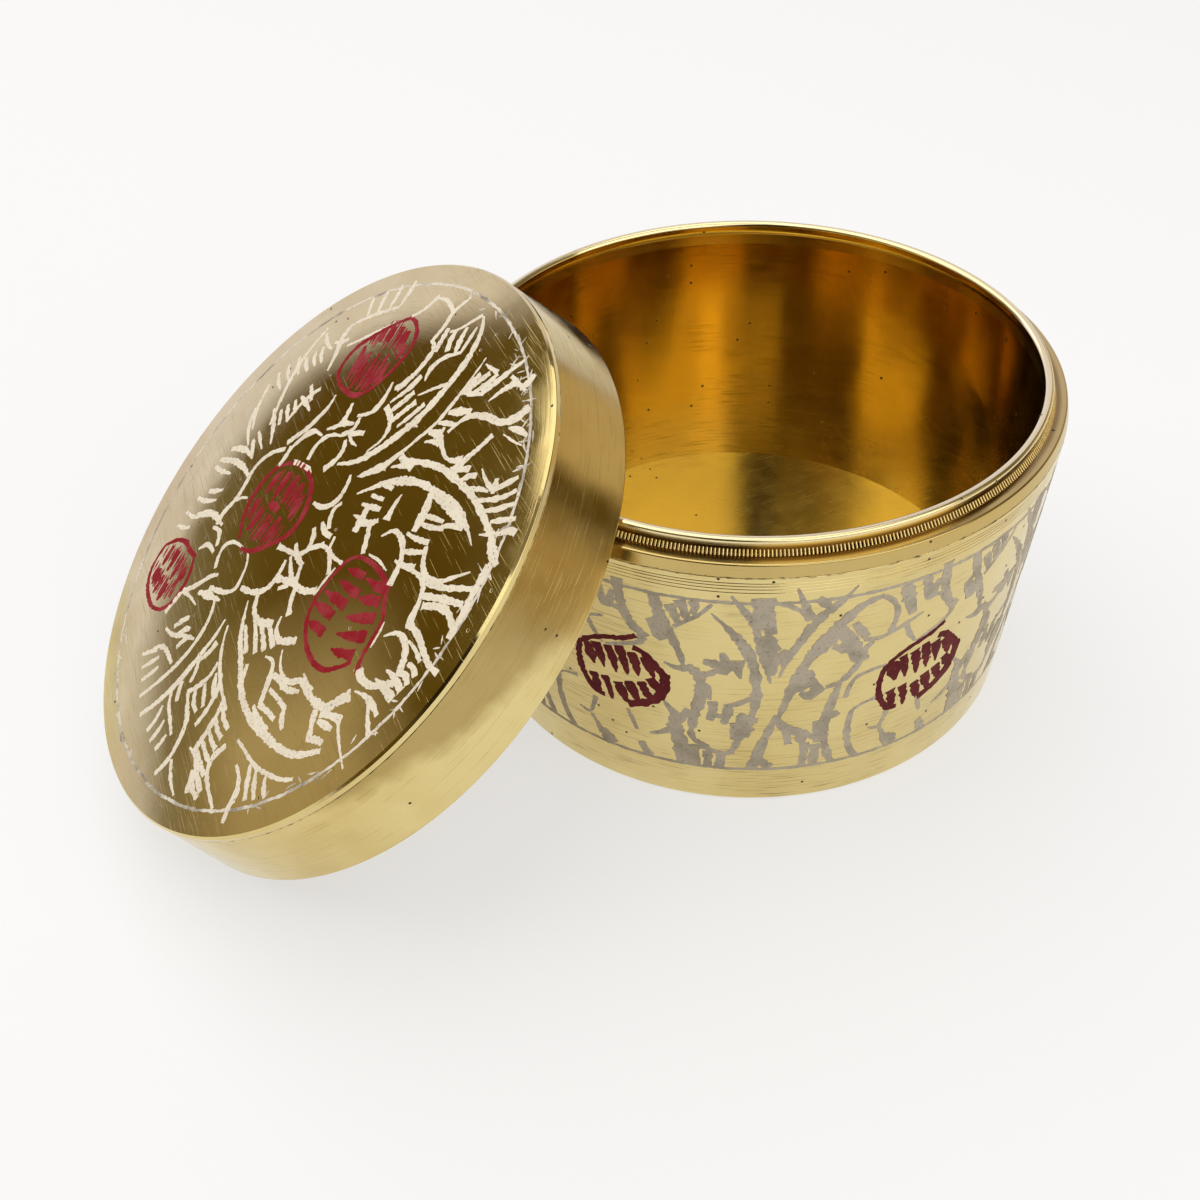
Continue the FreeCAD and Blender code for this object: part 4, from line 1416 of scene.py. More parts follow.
    ((14, 14, 6), [(446, 442), (462, 429), (480, 416)]),
    ((4, 12, 13), [(484, 447), (455, 465), (440, 486), (438, 510), (452, 535)]),
    ((9, 14, 17), [(499, 446), (517, 457), (524, 480), (517, 512)]),
    ((5, 14, 14), [(356, 427), (368, 450), (370, 480), (366, 520), (350, 566)]),
    ((3, 16, 10), [(428, 487), (398, 498), (383, 520), (376, 562)]),
    ((12, 10, 8), [(418, 566), (455, 549), (482, 540), (504, 546)]),
]

# Drawing of the lid's four buds on the same sheet
LID_BUD_CUTS: list[Cut] = [
    # Upper bud
    ((8, 12, 10), [(349, 217), (380, 215), (412, 226), (432, 250), (441, 295), (438, 330)]),
    ((10, 12, 10), [(440, 322), (431, 360), (412, 389), (374, 405), (330, 411)]),
    ((10, 12, 8), [(340, 411), (304, 404), (286, 375), (284, 340), (302, 298), (320, 262), (352, 217)]),
    ((14, 16, 8), [(311, 272), (322, 284), (333, 298)]),
    ((14, 16, 8), [(334, 254), (344, 268), (352, 284)]),
    ((14, 16, 8), [(356, 240), (366, 254), (374, 270)]),
    ((14, 16, 8), [(382, 234), (390, 248), (396, 262)]),
    ((12, 14, 8), [(412, 252), (418, 268), (420, 284)]),
    ((10, 15, 6), [(304, 326), (320, 346), (334, 372), (346, 396)]),
    ((8, 15, 6), [(336, 322), (352, 348), (366, 374), (378, 400)]),
    ((8, 15, 6), [(364, 306), (378, 334), (390, 362), (398, 384)]),
    ((8, 15, 6), [(390, 292), (402, 318), (412, 348), (414, 372)]),
    ((8, 13, 6), [(412, 300), (422, 322), (426, 344)]),
    # Middle bud
    ((8, 11, 13), [(392, 600), (412, 576), (440, 556), (480, 545), (520, 546), (556, 562)]),
    ((13, 14, 12), [(552, 560), (574, 582), (586, 610), (583, 640), (570, 668)]),
    ((12, 11, 8), [(572, 664), (552, 698), (526, 727), (498, 741)]),
    ((10, 14, 8), [(392, 600), (386, 626), (390, 656), (404, 690), (430, 716), (470, 738)]),
    ((10, 16, 7), [(412, 600), (418, 624), (426, 650)]),
    ((10, 16, 7), [(440, 580), (450, 606), (460, 640)]),
    ((10, 16, 7), [(470, 564), (482, 594), (492, 622)]),
    ((10, 16, 7), [(502, 560), (512, 588), (520, 616)]),
    ((10, 15, 7), [(532, 568), (542, 594), (548, 620)]),
    ((12, 22, 12), [(462, 650), (480, 640), (502, 634)]),
    ((10, 15, 7), [(424, 662), (434, 686), (442, 706)]),
    ((10, 15, 7), [(458, 668), (466, 692), (472, 716)]),
    ((10, 15, 7), [(494, 652), (504, 676), (512, 706)]),
    ((10, 15, 7), [(526, 632), (536, 656), (542, 686)]),
    # Right bud
    ((8, 9, 12), [(772, 548), (786, 516), (822, 496), (862, 485), (910, 481)]),
    ((12, 8, 11), [(902, 481), (934, 504), (957, 516), (972, 546), (988, 578), (1006, 598)]),
    ((8, 8, 9), [(776, 538), (776, 570), (782, 600), (792, 632)]),
    ((9, 10, 12), [(788, 622), (806, 646), (840, 664), (880, 671), (916, 667)]),
    ((12, 10, 8), [(908, 669), (942, 655), (962, 630), (978, 600)]),
    ((4, 18, 20), [(794, 540), (816, 528), (842, 516)]),
    ((4, 18, 20), [(848, 514), (878, 503), (908, 490)]),
    ((3, 18, 23), [(800, 562), (832, 552), (866, 540)]),
    ((3, 19, 23), [(872, 542), (894, 526), (920, 508)]),
    ((4, 19, 24), [(794, 596), (826, 584), (862, 570)]),
    ((3, 18, 23), [(884, 578), (908, 558), (940, 528)]),
    ((4, 19, 24), [(792, 626), (822, 614), (858, 602)]),
    ((3, 18, 23), [(898, 606), (926, 586), (958, 556)]),
    ((4, 19, 24), [(818, 652), (842, 640), (872, 630)]),
    ((3, 18, 23), [(916, 628), (942, 612), (970, 592)]),
    # Lower left bud
    ((8, 13, 9), [(270, 924), (294, 890), (326, 869), (362, 864), (396, 852)]),
    ((9, 12, 8), [(392, 856), (424, 878), (442, 910), (446, 945), (432, 975)]),
    ((8, 12, 8), [(434, 972), (404, 992), (362, 998), (318, 990), (286, 966), (270, 924)]),
    ((10, 16, 8), [(300, 902), (310, 926), (318, 944)]),
    ((10, 16, 8), [(330, 890), (340, 914), (348, 936)]),
    ((10, 16, 8), [(362, 884), (372, 908), (380, 932)]),
    ((10, 16, 8), [(394, 884), (404, 906), (412, 930)]),
    ((10, 15, 8), [(322, 950), (330, 966), (338, 982)]),
    ((10, 15, 8), [(352, 944), (360, 964), (366, 984)]),
    ((10, 15, 8), [(384, 940), (392, 960), (398, 978)]),
]

# Drawing of the wall between two buds: tenths of a degree across, and 480 units from the seam to the table
WALL_LEAF_CUTS: list[Cut] = [
    # Stem and cell over the left bud
    ((16, 14, 12), [(272, 34), (274, 65), (281, 95), (296, 120), (309, 129)]),
    ((12, 8, 4), [(309, 126), (307, 134), (303, 143)]),
    ((8, 13, 8), [(262, 60), (255, 80), (248, 94)]),
    # Leaf with a comb, left of the middle
    ((15, 15, 11), [(334, 48), (341, 75), (350, 97), (361, 118)]),
    ((13, 12, 7), [(356, 108), (368, 135), (378, 160), (383, 180)]),
    ((12, 14, 8), [(361, 62), (369, 80), (376, 97)]),
    ((14, 14, 8), [(378, 50), (385, 68), (390, 86)]),
    ((14, 12, 6), [(398, 48), (404, 60), (398, 74)]),
    ((5, 7, 6), [(431, 51), (412, 72), (390, 88), (367, 104)]),
    ((5, 9, 7), [(346, 85), (335, 95), (321, 103)]),
    ((14, 24, 14), [(330, 102), (340, 118), (352, 133)]),
    ((3, 12, 14), [(349, 179), (365, 186), (384, 186), (402, 181)]),
    ((14, 15, 8), [(398, 184), (411, 194), (430, 191)]),
    ((8, 16, 14), [(417, 165), (440, 170), (466, 176)]),
    ((7, 16, 12), [(449, 145), (456, 166), (452, 190)]),
    ((8, 12, 12), [(427, 192), (445, 181), (467, 174)]),
    ((20, 14, 3), [(475, 159), (477, 178), (482, 197)]),
    ((14, 19, 13), [(410, 194), (415, 222), (412, 250), (402, 280), (398, 312)]),
    ((8, 10, 5), [(415, 216), (425, 218), (430, 246)]),
    ((12, 14, 10), [(434, 249), (436, 268), (430, 292)]),
    ((6, 9, 7), [(455, 258), (480, 251), (503, 238)]),
    ((12, 16, 8), [(463, 258), (461, 276), (455, 298)]),
    ((8, 9, 8), [(430, 275), (450, 281), (470, 272)]),
    ((10, 10, 7), [(401, 300), (396, 325), (405, 343), (430, 353)]),
    ((20, 30, 14), [(500, 276), (490, 302), (478, 334)]),
    ((10, 15, 10), [(480, 276), (500, 285), (517, 288)]),
    ((8, 13, 8), [(476, 300), (486, 316), (504, 323)]),
    ((11, 9, 8), [(484, 330), (477, 350), (468, 367)]),
    # Foot of the left leaf
    ((14, 26, 26), [(368, 284), (365, 312), (372, 340), (380, 370), (383, 400)]),
    ((3, 8, 11), [(316, 346), (338, 338), (362, 324)]),
    ((3, 8, 13), [(344, 260), (356, 276), (368, 290)]),
    ((6, 12, 8), [(390, 272), (381, 292), (374, 308)]),
    ((14, 13, 13), [(403, 362), (405, 380), (404, 401)]),
    ((14, 13, 13), [(427, 365), (428, 383), (428, 401)]),
    ((13, 13, 13), [(452, 368), (452, 385), (449, 401)]),
    ((6, 10, 10), [(388, 357), (420, 357), (455, 367), (474, 360)]),
    # Left crescent and the forked stem in the middle
    ((2, 15, 14), [(430, 68), (455, 93), (480, 122), (500, 160), (509, 200)]),
    ((14, 15, 9), [(507, 192), (511, 225), (510, 250), (505, 278)]),
    ((4, 12, 10), [(461, 33), (479, 56), (496, 78), (506, 104)]),
    ((11, 14, 3), [(505, 100), (513, 132), (523, 165), (534, 207)]),
    ((10, 20, 16), [(500, 36), (509, 68), (517, 96)]),
    ((16, 24, 15), [(520, 36), (520, 72), (529, 106)]),
    ((14, 24, 13), [(518, 108), (532, 130), (543, 128)]),
    ((16, 20, 9), [(526, 138), (535, 163), (533, 190)]),
    ((10, 14, 6), [(548, 138), (556, 152), (552, 172)]),
    ((3, 11, 13), [(565, 20), (578, 50), (592, 82)]),
    ((2, 12, 14), [(663, 27), (640, 52), (612, 74), (594, 96)]),
    ((14, 12, 3), [(596, 92), (577, 125), (560, 156), (548, 194)]),
    ((10, 13, 8), [(600, 41), (612, 52), (622, 62)]),
    ((5, 6, 8), [(524, 46), (555, 52), (582, 70)]),
    ((6, 17, 17), [(714, 57), (680, 66), (650, 90), (622, 122), (598, 158)]),
    ((17, 14, 6), [(602, 150), (580, 195), (568, 232), (560, 262), (551, 286)]),
    ((5, 14, 17), [(549, 276), (540, 305), (528, 340), (519, 372), (510, 400)]),
    ((10, 13, 20), [(522, 365), (530, 385), (545, 399)]),
    # Clumps right of the middle
    ((8, 18, 12), [(550, 282), (562, 302), (580, 314), (600, 320)]),
    ((10, 13, 10), [(566, 300), (572, 325), (576, 345)]),
    ((12, 15, 9), [(590, 312), (599, 335), (605, 354)]),
    ((12, 14, 10), [(624, 298), (628, 325), (630, 348)]),
    ((10, 11, 9), [(600, 318), (614, 330), (630, 338)]),
    ((12, 13, 14), [(608, 346), (608, 375), (606, 401)]),
    ((14, 17, 15), [(628, 352), (628, 378), (628, 401)]),
    ((9, 14, 12), [(657, 222), (648, 260), (640, 300), (642, 340)]),
    ((12, 13, 11), [(641, 335), (651, 372), (664, 403)]),
    ((10, 22, 14), [(600, 184), (597, 205), (583, 228)]),
    ((12, 18, 10), [(602, 204), (616, 224), (606, 243)]),
    ((8, 15, 8), [(588, 231), (605, 239), (628, 224)]),
    ((16, 30, 16), [(646, 104), (628, 124), (606, 148)]),
    ((14, 26, 14), [(646, 106), (662, 132), (675, 155), (689, 184)]),
    ((9, 15, 10), [(668, 100), (680, 116), (694, 134)]),
    ((9, 15, 8), [(636, 140), (655, 149), (676, 152)]),
    ((6, 14, 8), [(708, 146), (692, 162), (702, 182)]),
    ((10, 10, 6), [(690, 182), (676, 202), (656, 219), (632, 225)]),
    ((8, 7, 4), [(690, 138), (718, 142), (750, 134), (778, 124), (799, 117)]),
    ((8, 8, 8), [(715, 60), (733, 75), (744, 95), (743, 118), (734, 139)]),
    ((14, 20, 14), [(752, 50), (763, 80), (776, 112)]),
    ((12, 14, 8), [(790, 48), (797, 70), (802, 94)]),
    ((8, 9, 4), [(765, 124), (776, 148), (794, 174)]),
    ((7, 8, 14), [(800, 92), (825, 91), (842, 108), (856, 122), (870, 137)]),
    ((12, 6, 5), [(866, 138), (858, 151), (832, 162), (798, 175)]),
    ((5, 8, 8), [(743, 205), (712, 208), (690, 214), (678, 230), (673, 256)]),
    ((5, 5, 7), [(687, 292), (705, 280), (734, 273)]),
    ((10, 11, 10), [(690, 290), (687, 320), (690, 350), (698, 378), (714, 402)]),
    ((12, 14, 8), [(664, 285), (652, 292), (640, 296)]),
    ((4, 7, 8), [(731, 341), (752, 346), (762, 325), (769, 303)]),
    ((8, 9, 14), [(756, 349), (766, 366), (776, 386)]),
    ((12, 22, 18), [(776, 374), (786, 388), (795, 400)]),
    ((6, 8, 6), [(831, 304), (838, 325), (846, 346)]),
    ((10, 14, 14), [(852, 372), (858, 386), (866, 400)]),
]

# Drawing of one bud on the wall, with its own middle at 265, 225
WALL_BUD_CUTS: list[Cut] = [
    ((8, 9, 8), [(186, 190), (212, 172), (242, 160), (272, 152), (300, 139)]),
    ((9, 13, 14), [(292, 165), (312, 171), (328, 188), (343, 203), (352, 214)]),
    ((14, 15, 12), [(350, 206), (348, 236), (338, 258), (312, 278), (276, 292)]),
    ((9, 11, 9), [(186, 188), (180, 214), (182, 244), (192, 268), (210, 288), (228, 290)]),
    ((14, 20, 4), [(200, 186), (206, 206), (212, 228)]),
    ((14, 14, 3), [(219, 179), (227, 202), (233, 228)]),
    ((14, 14, 3), [(243, 177), (252, 202), (257, 230)]),
    ((14, 15, 3), [(265, 170), (273, 196), (279, 227)]),
    ((14, 14, 3), [(289, 176), (296, 198), (300, 223)]),
    ((10, 15, 4), [(310, 180), (322, 200), (330, 218)]),
    ((14, 14, 8), [(207, 248), (213, 268), (216, 288)]),
    ((13, 13, 3), [(231, 246), (239, 268), (243, 294)]),
    ((14, 15, 6), [(258, 250), (266, 270), (274, 290)]),
    ((14, 15, 6), [(280, 241), (288, 260), (296, 280)]),
    ((13, 15, 7), [(304, 234), (312, 252), (320, 268)]),
    ((14, 16, 10), [(322, 222), (332, 236), (340, 248)]),
]


def woven(line: Sequence[Pair], widths: Triple, steps: int = 5) -> tuple[list[Pair], list[float]]:
    """Draws a smooth Catmull-Rom line through a cut's points.

    Args:
        line: The points that the cut runs through.
        widths: Its width at its start, middle and end.
        steps: Points between two given ones.

    Returns:
        The line's points and the width at each.
    """
    ends = [line[0], *line, line[-1]]
    points: list[Pair] = []
    for corners in zip(ends, ends[1:], ends[2:], ends[3:]):
        for step in range(steps):
            t = step / steps
            points.append(tuple(
                0.5 * (2 * q + (r - p) * t + (2 * p - 5 * q + 4 * r - s) * t ** 2
                       + (3 * q - p - 3 * r + s) * t ** 3)
                for p, q, r, s in zip(*corners)
            ))
    points.append(line[-1])
    start, middle, end = widths
    sides = []
    for i in range(len(points)):
        t = i / (len(points) - 1)
        sides.append(start + (middle - start) * 2 * t if t < 0.5 else middle + (end - middle) * (2 * t - 1))
    return points, sides


@dataclass
class Engraver:
    """Lays drawn cuts on a surface as lacquer fills."""

    tree: Tree
    seat: Seat
    step: float = 0.45
    wander: float = 0.05
    ragged: float = 0.045

    def lay(self, name: str, sheet: StrokeSheet, finish: LacquerFinish, seed: float) -> Piece:
        """Fills the strokes of one sheet.

        Args:
            name: The finished piece's name.
            sheet: The strokes.
            finish: The lacquer.
            seed: Seed of the hand's small slips.

        Returns:
            The lacquer as one piece.
        """
        piece = grown(name, sheet.mesh(f"{name}_lines"), self.tree, {
            "Step": self.step * MM,
            "Wander": self.wander * MM,
            "Ragged": self.ragged * MM,
            "Seed": seed,
            "Finish": finish.material(),
        })
        return settled(piece, self.seat, None)


@dataclass
class LidOrnament:
    """Engraving on the lid's plate: border line, leaves and stems, and four buds.

    The border is in millimetres. Buds and hatching are in units of the drawing.
    """

    lid: BoxLid
    sheet_middle: float = 600.0
    sheet_unit: float = 0.07
    border_radius: float = 37.35
    border_width: float = 0.42
    border_points: int = 240
    hatched_buds: tuple[tuple[Pair, Pair, float], ...] = (
        ((362.0, 314.0), (72.0, 92.0), -0.35),
        ((486.0, 643.0), (94.0, 92.0), -0.2),
        ((356.0, 930.0), (80.0, 62.0), -0.25),
    )
    hatch_count: int = 15
    hatch_side: float = 0.86
    hatch_play: Pair = (0.2, 0.8)
    hatch_rows: tuple[Pair, ...] = ((-0.92, -0.1), (0.02, 0.9))
    hatch_slip: float = 0.2
    hatch_slant: float = 6.0
    hatch_end: float = 3.0
    hatch_width: Pair = (5.0, 8.0)
    hatch_seed: int = 5
    slip_clusters: tuple[tuple[float, float, int], ...] = (
        (66.0, 20.0, 44), (4.0, 24.0, 26), (-80.0, 30.0, 14),
    )
    slip_band: Pair = (-1.5, 0.6)
    slip_reach: Pair = (0.35, 1.1)
    slip_widths: Triple = (0.1, 0.26, 0.1)
    slip_seed: int = 12
    cream: LacquerFinish = LacquerFinish(
        "cream_lacquer_lid", (0.94, 0.85, 0.67), (0.80, 0.69, 0.52), soil_share=0.35,
    )
    red: LacquerFinish = LacquerFinish(
        "red_lacquer_lid", (0.30, 0.004, 0.011), (0.46, 0.07, 0.08),
        wear_share=0.4, soil_share=0.2, sheen=0.12,
    )
    dusty: LacquerFinish = LacquerFinish(
        "dusty_lacquer_border", (0.84, 0.76, 0.62), (0.30, 0.26, 0.19), wear_share=0.9, soil_share=0.6,
    )

    def build(self) -> None:
        """Builds and dresses the lid's lacquer."""
        bend = (self.lid.crown_radius() * MM, self.lid.crown_centre() * MM)
        fine = Engraver(graver_tree(Surface.PLATE, bend), LID_SEAT, step=0.34, ragged=0.06)
        rough = Engraver(fine.tree, LID_SEAT, wander=0.1, ragged=0.09)
        border = rough.lay("lid_border_lacquer", self.border(), self.dusty, seed=3.0)
        leaves = fine.lay("lid_leaf_lacquer", self.drawn(LID_LEAF_CUTS), self.cream, seed=5.0)
        bud_cuts = [*LID_BUD_CUTS, *self.hatching()]
        buds = fine.lay("lid_bud_lacquer", self.drawn(bud_cuts), self.red, seed=8.0)
        fitted(border, Body.LID, Slot.CREAM, "lid_border_line")
        fitted(leaves, Body.LID, Slot.CREAM, "lid_stems")
        fitted(buds, Body.LID, Slot.RED, "lid_buds")

    def border(self) -> StrokeSheet:
        """Draws the border line, one closed round, and the slips across it.

        Returns:
            The border's strokes.
        """
        sheet = StrokeSheet()
        ring = []
        for i in range(self.border_points + 1):
            angle = FULL_TURN * i / self.border_points
            ring.append((self.border_radius * math.cos(angle), self.border_radius * math.sin(angle)))
        sheet.cut(ring, [self.border_width] * len(ring))
        self.slip(sheet)
        return sheet

    def slip(self, sheet: StrokeSheet) -> None:
        """Adds the short slips of the graver that cross the border, in clusters by their turn in degrees.

        Args:
            sheet: The sheet that they are added to.
        """
        chance = random.Random(self.slip_seed)
        for middle, spread, count in self.slip_clusters:
            for _ in range(count):
                angle = math.radians(chance.gauss(middle, spread))
                radius = self.border_radius + chance.uniform(*self.slip_band)
                heading = angle + chance.uniform(0.0, math.pi)
                reach = chance.uniform(*self.slip_reach)
                place = Vector((math.cos(angle), math.sin(angle))) * radius
                along = Vector((math.cos(heading), math.sin(heading))) * reach
                sheet.cut([tuple(place - along), tuple(place), tuple(place + along)], self.slip_widths)

    def hatching(self) -> list[Cut]:
        """Draws the fine close hatching, in two rows, inside the three buds that are worn most.

        Returns:
            The hatching's cuts.
        """
        chance = random.Random(self.hatch_seed)
        cuts: list[Cut] = []
        for middle, (wide, tall), lean in self.hatched_buds:
            across = Vector((math.cos(lean), math.sin(lean)))
            down = Vector((-across.y, across.x))
            for i in range(self.hatch_count):
                share = (i + chance.uniform(*self.hatch_play)) / self.hatch_count
                side = self.hatch_side * (2.0 * share - 1.0)
                half = math.sqrt(1.0 - side * side) * tall
                for top, end in self.hatch_rows:
                    first = half * (top + chance.uniform(0.0, self.hatch_slip))
                    last = half * (end - chance.uniform(0.0, self.hatch_slip))
                    start = Vector(middle) + across * (side * wide) + down * first
                    stop = Vector(middle) + across * (side * wide + self.hatch_slant) + down * last
                    widths = (self.hatch_end, chance.uniform(*self.hatch_width), self.hatch_end)
                    cuts.append((widths, [tuple(start), tuple((start + stop) / 2.0), tuple(stop)]))
        return cuts

    def spot(self, x: float, y: float) -> Pair:
        """Returns the place of a drawn point on the plate."""
        return (x - self.sheet_middle) * self.sheet_unit, (self.sheet_middle - y) * self.sheet_unit

    def drawn(self, cuts: Sequence[Cut]) -> StrokeSheet:
        """Returns cuts of the drawing as strokes on the plate."""
        return StrokeSheet().draw(cuts, self.sheet_unit, self.spot)


@dataclass
class WallOrnament:
    """Engraving round the wall: two border lines, and six buds with leaves and stems between them.

    Sizes are in millimetres, turns in degrees, and the buds' places in units of the drawing.
    """

    base: BoxBase
    measured_radius: float = 41.0
    sheet_height: float = 480.0
    sheet_degree: float = 10.0
    first_bud: float = 265.0
    second_bud: float = 822.0
    second_bud_drop: float = 20.0
    first_bud_turn: float = 222.1
    bud_count: int = 6
    width_unit: float = 0.1
    border_heights: Pair = (37.9, 6.8)
    border_width: float = 0.55
    border_points: int = 240
    grey: LacquerFinish = LacquerFinish(
        "grey_lacquer_wall", (0.55, 0.49, 0.385), (0.36, 0.32, 0.235), wear_share=0.75,
    )
    maroon: LacquerFinish = LacquerFinish(
        "maroon_lacquer_wall", (0.115, 0.006, 0.009), (0.21, 0.03, 0.03), soil_share=0.2, sheen=0.12,
    )

    def build(self) -> None:
        """Builds and dresses the wall's lacquer."""
        spread = (self.base.shoulder_radius - self.base.foot_radius) / self.base.seam_height
        bend = (self.base.foot_radius * MM, spread, self.measured_radius * MM)
        engraver = Engraver(graver_tree(Surface.WALL, bend), BASE_SEAT)
        high, low = self.border_heights
        upper = engraver.lay("wall_upper_line", self.border(high), self.grey, seed=2.0)
        lower = engraver.lay("wall_lower_line", self.border(low), self.grey, seed=4.0)
        leaves = engraver.lay("wall_leaf_lacquer", self.leaves(), self.grey, seed=6.0)
        buds = engraver.lay("wall_bud_lacquer", self.buds(), self.maroon, seed=9.0)
        fitted(upper, Body.BASE, Slot.GREY, "base_upper_line")
        fitted(lower, Body.BASE, Slot.GREY, "base_lower_line")
        fitted(leaves, Body.BASE, Slot.GREY, "base_stems")
        fitted(buds, Body.BASE, Slot.MAROON, "base_buds")

    def border(self, height: float) -> StrokeSheet:
        """Draws one border line round the wall.

        Args:
            height: The line's height.

        Returns:
            The line's stroke.
        """
        sheet = StrokeSheet()
        reach = FULL_TURN * self.measured_radius
        ring = [(reach * i / self.border_points, height) for i in range(self.border_points + 1)]
        sheet.cut(ring, [self.border_width] * len(ring))
        return sheet

    def spot(self, turn: float, y: float) -> Pair:
        """Returns a place on the unrolled wall from a turn in degrees and a sheet height."""
        height = self.base.seam_height * (1.0 - y / self.sheet_height)
        return math.radians(turn) * self.measured_radius, height

    def gaps(self) -> list[Pair]:
        """Finds the gaps between one bud and the next.

        Returns:
            The turn and the spread of each gap, in degrees.
        """
        first = (self.second_bud - self.first_bud) / self.sheet_degree
        others = (360.0 - first) / (self.bud_count - 1)
        rest = [self.first_bud_turn + first + others * i for i in range(self.bud_count - 1)]
        return [(self.first_bud_turn, first), *((turn, others) for turn in rest)]

    def leaves(self) -> StrokeSheet:
        """Draws the leaves and stems in every gap between buds.

        Returns:
            Their strokes.
        """
        sheet = StrokeSheet()
        span = self.second_bud - self.first_bud
        for turn, spread in self.gaps():
            sheet.draw(WALL_LEAF_CUTS, self.width_unit, lambda x, y: self.spot(
                turn + (x - self.first_bud) / span * spread, y,
            ))
        return sheet

    def buds(self) -> StrokeSheet:
        """Draws every bud, each second one a little lower.

        Returns:
            Their strokes.
        """
        sheet = StrokeSheet()
        for number, (turn, _) in enumerate(self.gaps()):
            drop = self.second_bud_drop * (number % 2)
            sheet.draw(WALL_BUD_CUTS, self.width_unit, lambda x, y: self.spot(
                turn + (x - self.first_bud) / self.sheet_degree, y + drop,
            ))
        return sheet


@dataclass(frozen=True)
class RoomPanel:
    """A lit stretch of the room's wall.

    Azimuths, the soft edge and the flare are in degrees. Top, bottom and fade are sines of elevation. A flare
    widens the foot of the panel.
    """

    start: float
    end: float
    top: float
    colour: Colour
    soft: float = 4.0
    fade: float = 0.04
    bottom: float = -1.0
    flare: float = 0.0
    flare_power: float = 4.0

    def cover(self, graph: Graph, azimuth: Feed, up: Feed) -> Socket:
        """Finds how much of a direction the panel covers.

        Args:
            graph: The world's graph.
            azimuth: The direction's azimuth, in radians.
            up: The sine of its elevation.

        Returns:
            The panel's cover.
        """
        start, end, soft = (math.radians(angle) for angle in (self.start, self.end, self.soft))
        rise = graph.remap(azimuth, start - soft, start + soft)
        if self.flare:
            drop = graph.math("MULTIPLY_ADD", graph.math("MAXIMUM", up, 0.0), -1.0 / self.top, 1.0)
            spread = graph.math("POWER", graph.math("MAXIMUM", drop, 0.0), self.flare_power)
            azimuth = graph.math("MULTIPLY_ADD", spread, -math.radians(self.flare), azimuth)
        fall = graph.remap(azimuth, end - soft, end + soft, 1.0, 0.0)
        low = graph.remap(up, self.top - self.fade, self.top + self.fade, 1.0, 0.0)
        high = graph.remap(up, self.bottom - self.fade, self.bottom + self.fade)
        return graph.math("MULTIPLY", graph.math("MULTIPLY", low, high), graph.math("MULTIPLY", rise, fall))


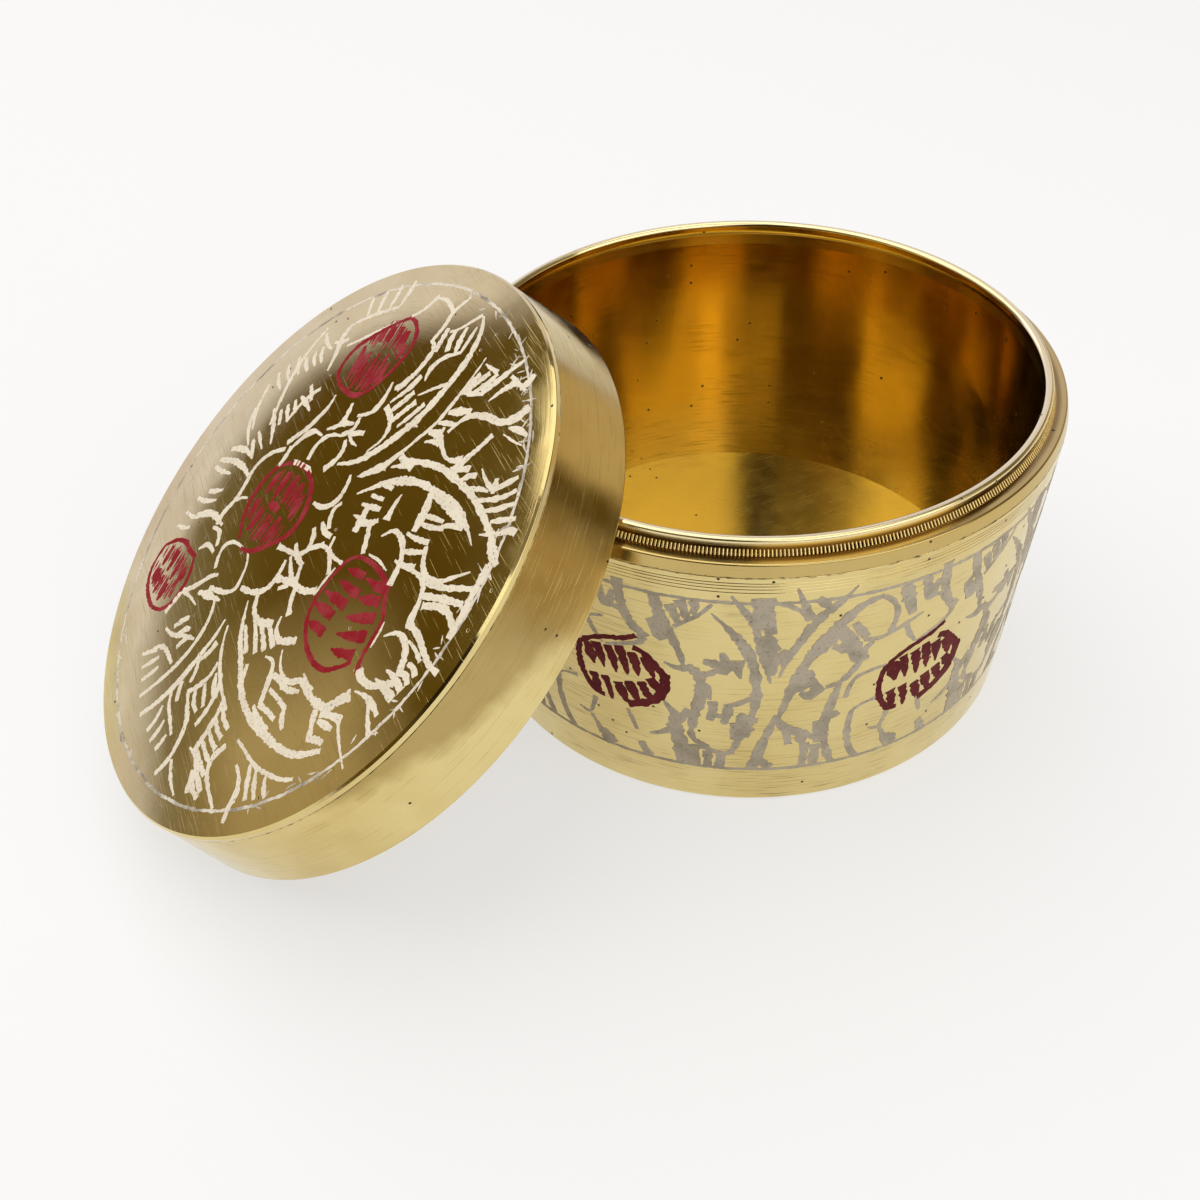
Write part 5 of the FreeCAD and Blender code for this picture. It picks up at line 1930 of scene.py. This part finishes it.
@dataclass
class Studio:
    """Pale floor, soft lamps, room light and the camera, whose place is in millimetres."""

    floor_size: float = 8.0
    floor_level: float = -0.02 * MM
    paper: Colour = (0.93, 0.93, 0.93)
    paper_glow: float = 0.6
    paper_roughness: float = 0.9
    paper_sheen: float = 0.1
    aim: Triple = (-0.02, 0.0, 0.03)
    camera_place: Triple = (-72.40, -140.80, 142.09)
    camera_right: Triple = (0.93188, -0.36108, -0.03492)
    camera_up: Triple = (0.26449, 0.61041, 0.74662)
    camera_forward: Triple = (0.24827, 0.70499, -0.66434)
    lens: float = 40.5
    sensor_width: float = 36.0
    near_clip: float = 0.005
    room_span: Pair = (-0.2, 1.0)
    room_stops: tuple[tuple[float, Colour], ...] = (
        (0.0, (0.90, 0.88, 0.88)),
        (0.167, (0.80, 0.78, 0.98)),
        (0.192, (0.66, 0.65, 0.86)),
        (0.217, (0.24, 0.20, 0.14)),
        (0.25, (0.18, 0.14, 0.06)),
        (0.30, (0.14, 0.095, 0.02)),
        (0.34, (0.12, 0.074, 0.012)),
        (0.46, (0.12, 0.077, 0.012)),
        (0.52, (0.15, 0.11, 0.04)),
        (0.83, (0.20, 0.18, 0.15)),
        (1.0, (0.28, 0.26, 0.23)),
    )
    panels: tuple[RoomPanel, ...] = (
        RoomPanel(start=38.0, end=104.0, top=0.66, colour=(0.80, 0.78, 0.98)),
        RoomPanel(start=62.0, end=114.6, top=0.40, colour=(0.86, 0.86, 1.2), soft=1.2, flare=18.5),
        RoomPanel(start=133.0, end=175.0, top=0.29, colour=(0.48, 0.40, 0.28), bottom=0.10),
        RoomPanel(start=-75.0, end=-20.0, top=0.42, colour=(0.60, 0.46, 0.26), soft=8.0),
        RoomPanel(start=-2.0, end=35.0, top=0.42, colour=(0.66, 0.52, 0.32)),
        RoomPanel(start=-134.0, end=-108.0, top=0.97, colour=(0.025, 0.018, 0.01)),
    )

    def build(self) -> None:
        """Builds the stage."""
        self.floor()
        self.room()
        self.lamp("overhead_softbox", place=(-0.22, 0.28, 0.75), size=(1.2, 1.2), power=6.2)
        self.lamp("front_softbox", place=(0.20, -0.60, 0.60), size=(1.0, 0.8), power=3.2)
        self.camera()
        bpy.context.scene.view_settings.view_transform = "Standard"

    def floor(self) -> None:
        """Makes the pale floor, which shows near white and keeps the box's shadow."""
        half = self.floor_size / 2.0
        mesh = bpy.data.meshes.new("studio_floor")
        signs = ((-1, -1), (1, -1), (1, 1), (-1, 1))
        mesh.from_pydata([(x * half, y * half, self.floor_level) for x, y in signs], [], [(0, 1, 2, 3)])
        material, shader = new_material("studio_paper")
        graph = Graph(material.node_tree)
        graph.feed(shader, {
            "Base Color": opaque(self.paper),
            "Roughness": self.paper_roughness,
            "Specular IOR Level": self.paper_sheen,
        })
        path = graph.add("ShaderNodeLightPath").outputs
        seen = graph.math("MAXIMUM", path["Is Camera Ray"], path["Is Glossy Ray"])
        seen = graph.math("MAXIMUM", seen, path["Is Transmission Ray"])
        glow = graph.add("ShaderNodeEmission", {"Color": (1.0, 1.0, 1.0, 1.0), "Strength": 1.0})
        share = graph.math("MULTIPLY", seen, self.paper_glow)
        mixed = graph.add("ShaderNodeMixShader", {0: share, 1: shader, 2: glow})
        graph.feed(material.node_tree.nodes["Material Output"], {"Surface": mixed})
        mesh.materials.append(material)
        floor = bpy.data.objects.new("studio_floor", mesh)
        bpy.context.scene.collection.objects.link(floor)

    def room(self) -> None:
        """Lights the room: a pale band at the horizon, a dim warm wall over it and a softer ceiling."""
        world = bpy.data.worlds.new("studio_room")
        bpy.context.scene.world = world
        world.use_nodes = True
        graph = Graph(world.node_tree)
        direction = graph.vector("NORMALIZE", graph.add("ShaderNodeTexCoord").outputs["Generated"])
        x, y, up = graph.split(direction)
        azimuth = graph.math("ARCTAN2", y, x)
        ramp = graph.add("ShaderNodeValToRGB", {0: graph.remap(up, *self.room_span)})
        stops = ramp.color_ramp.elements
        for i, (place, tone) in enumerate(self.room_stops):
            stop = stops[i] if i < 2 else stops.new(place)
            stop.position = place
            stop.color = opaque(tone)
        colour: Feed = ramp
        for panel in self.panels:
            colour = graph.blend(panel.cover(graph, azimuth, up), colour, opaque(panel.colour))
        graph.feed(world.node_tree.nodes["Background"], {"Color": colour, "Strength": 1.0})

    def lamp(self, name: str, place: Triple, size: Pair, power: float) -> None:
        """Hangs one soft lamp that faces the box.

        Args:
            name: The lamp's name.
            place: Where it hangs, in metres.
            size: Its width and height, in metres.
            power: Its power in watts.
        """
        data = bpy.data.lights.new(name, "AREA")
        data.shape = "RECTANGLE"
        data.size, data.size_y = size
        data.energy = power
        lamp = bpy.data.objects.new(name, data)
        lamp.location = place
        aim = Vector(self.aim) - Vector(place)
        lamp.rotation_euler = aim.to_track_quat("-Z", "Y").to_euler()
        bpy.context.scene.collection.objects.link(lamp)

    def camera(self) -> None:
        """Sets the camera where the photograph was taken from."""
        data = bpy.data.cameras.new("camera")
        data.lens = self.lens
        data.sensor_width = self.sensor_width
        data.clip_start = self.near_clip
        camera = bpy.data.objects.new("camera", data)
        back = -Vector(self.camera_forward)
        turn = Matrix((self.camera_right, self.camera_up, back)).transposed().to_4x4()
        camera.matrix_world = Matrix.Translation(Vector(self.camera_place) * MM) @ turn
        bpy.context.scene.collection.objects.link(camera)
        bpy.context.scene.camera = camera


def main() -> None:
    """Builds the box, its lid, their ornament and the studio."""
    logging.basicConfig(level=logging.INFO, format="%(message)s")
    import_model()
    shop = Workshop(turned_tree())
    base = BoxBase(shop)
    base.build()
    WallOrnament(base).build()
    lid = BoxLid(shop)
    lid.build()
    LidOrnament(lid).build()
    Studio().build()


if __name__ == "__main__":
    main()
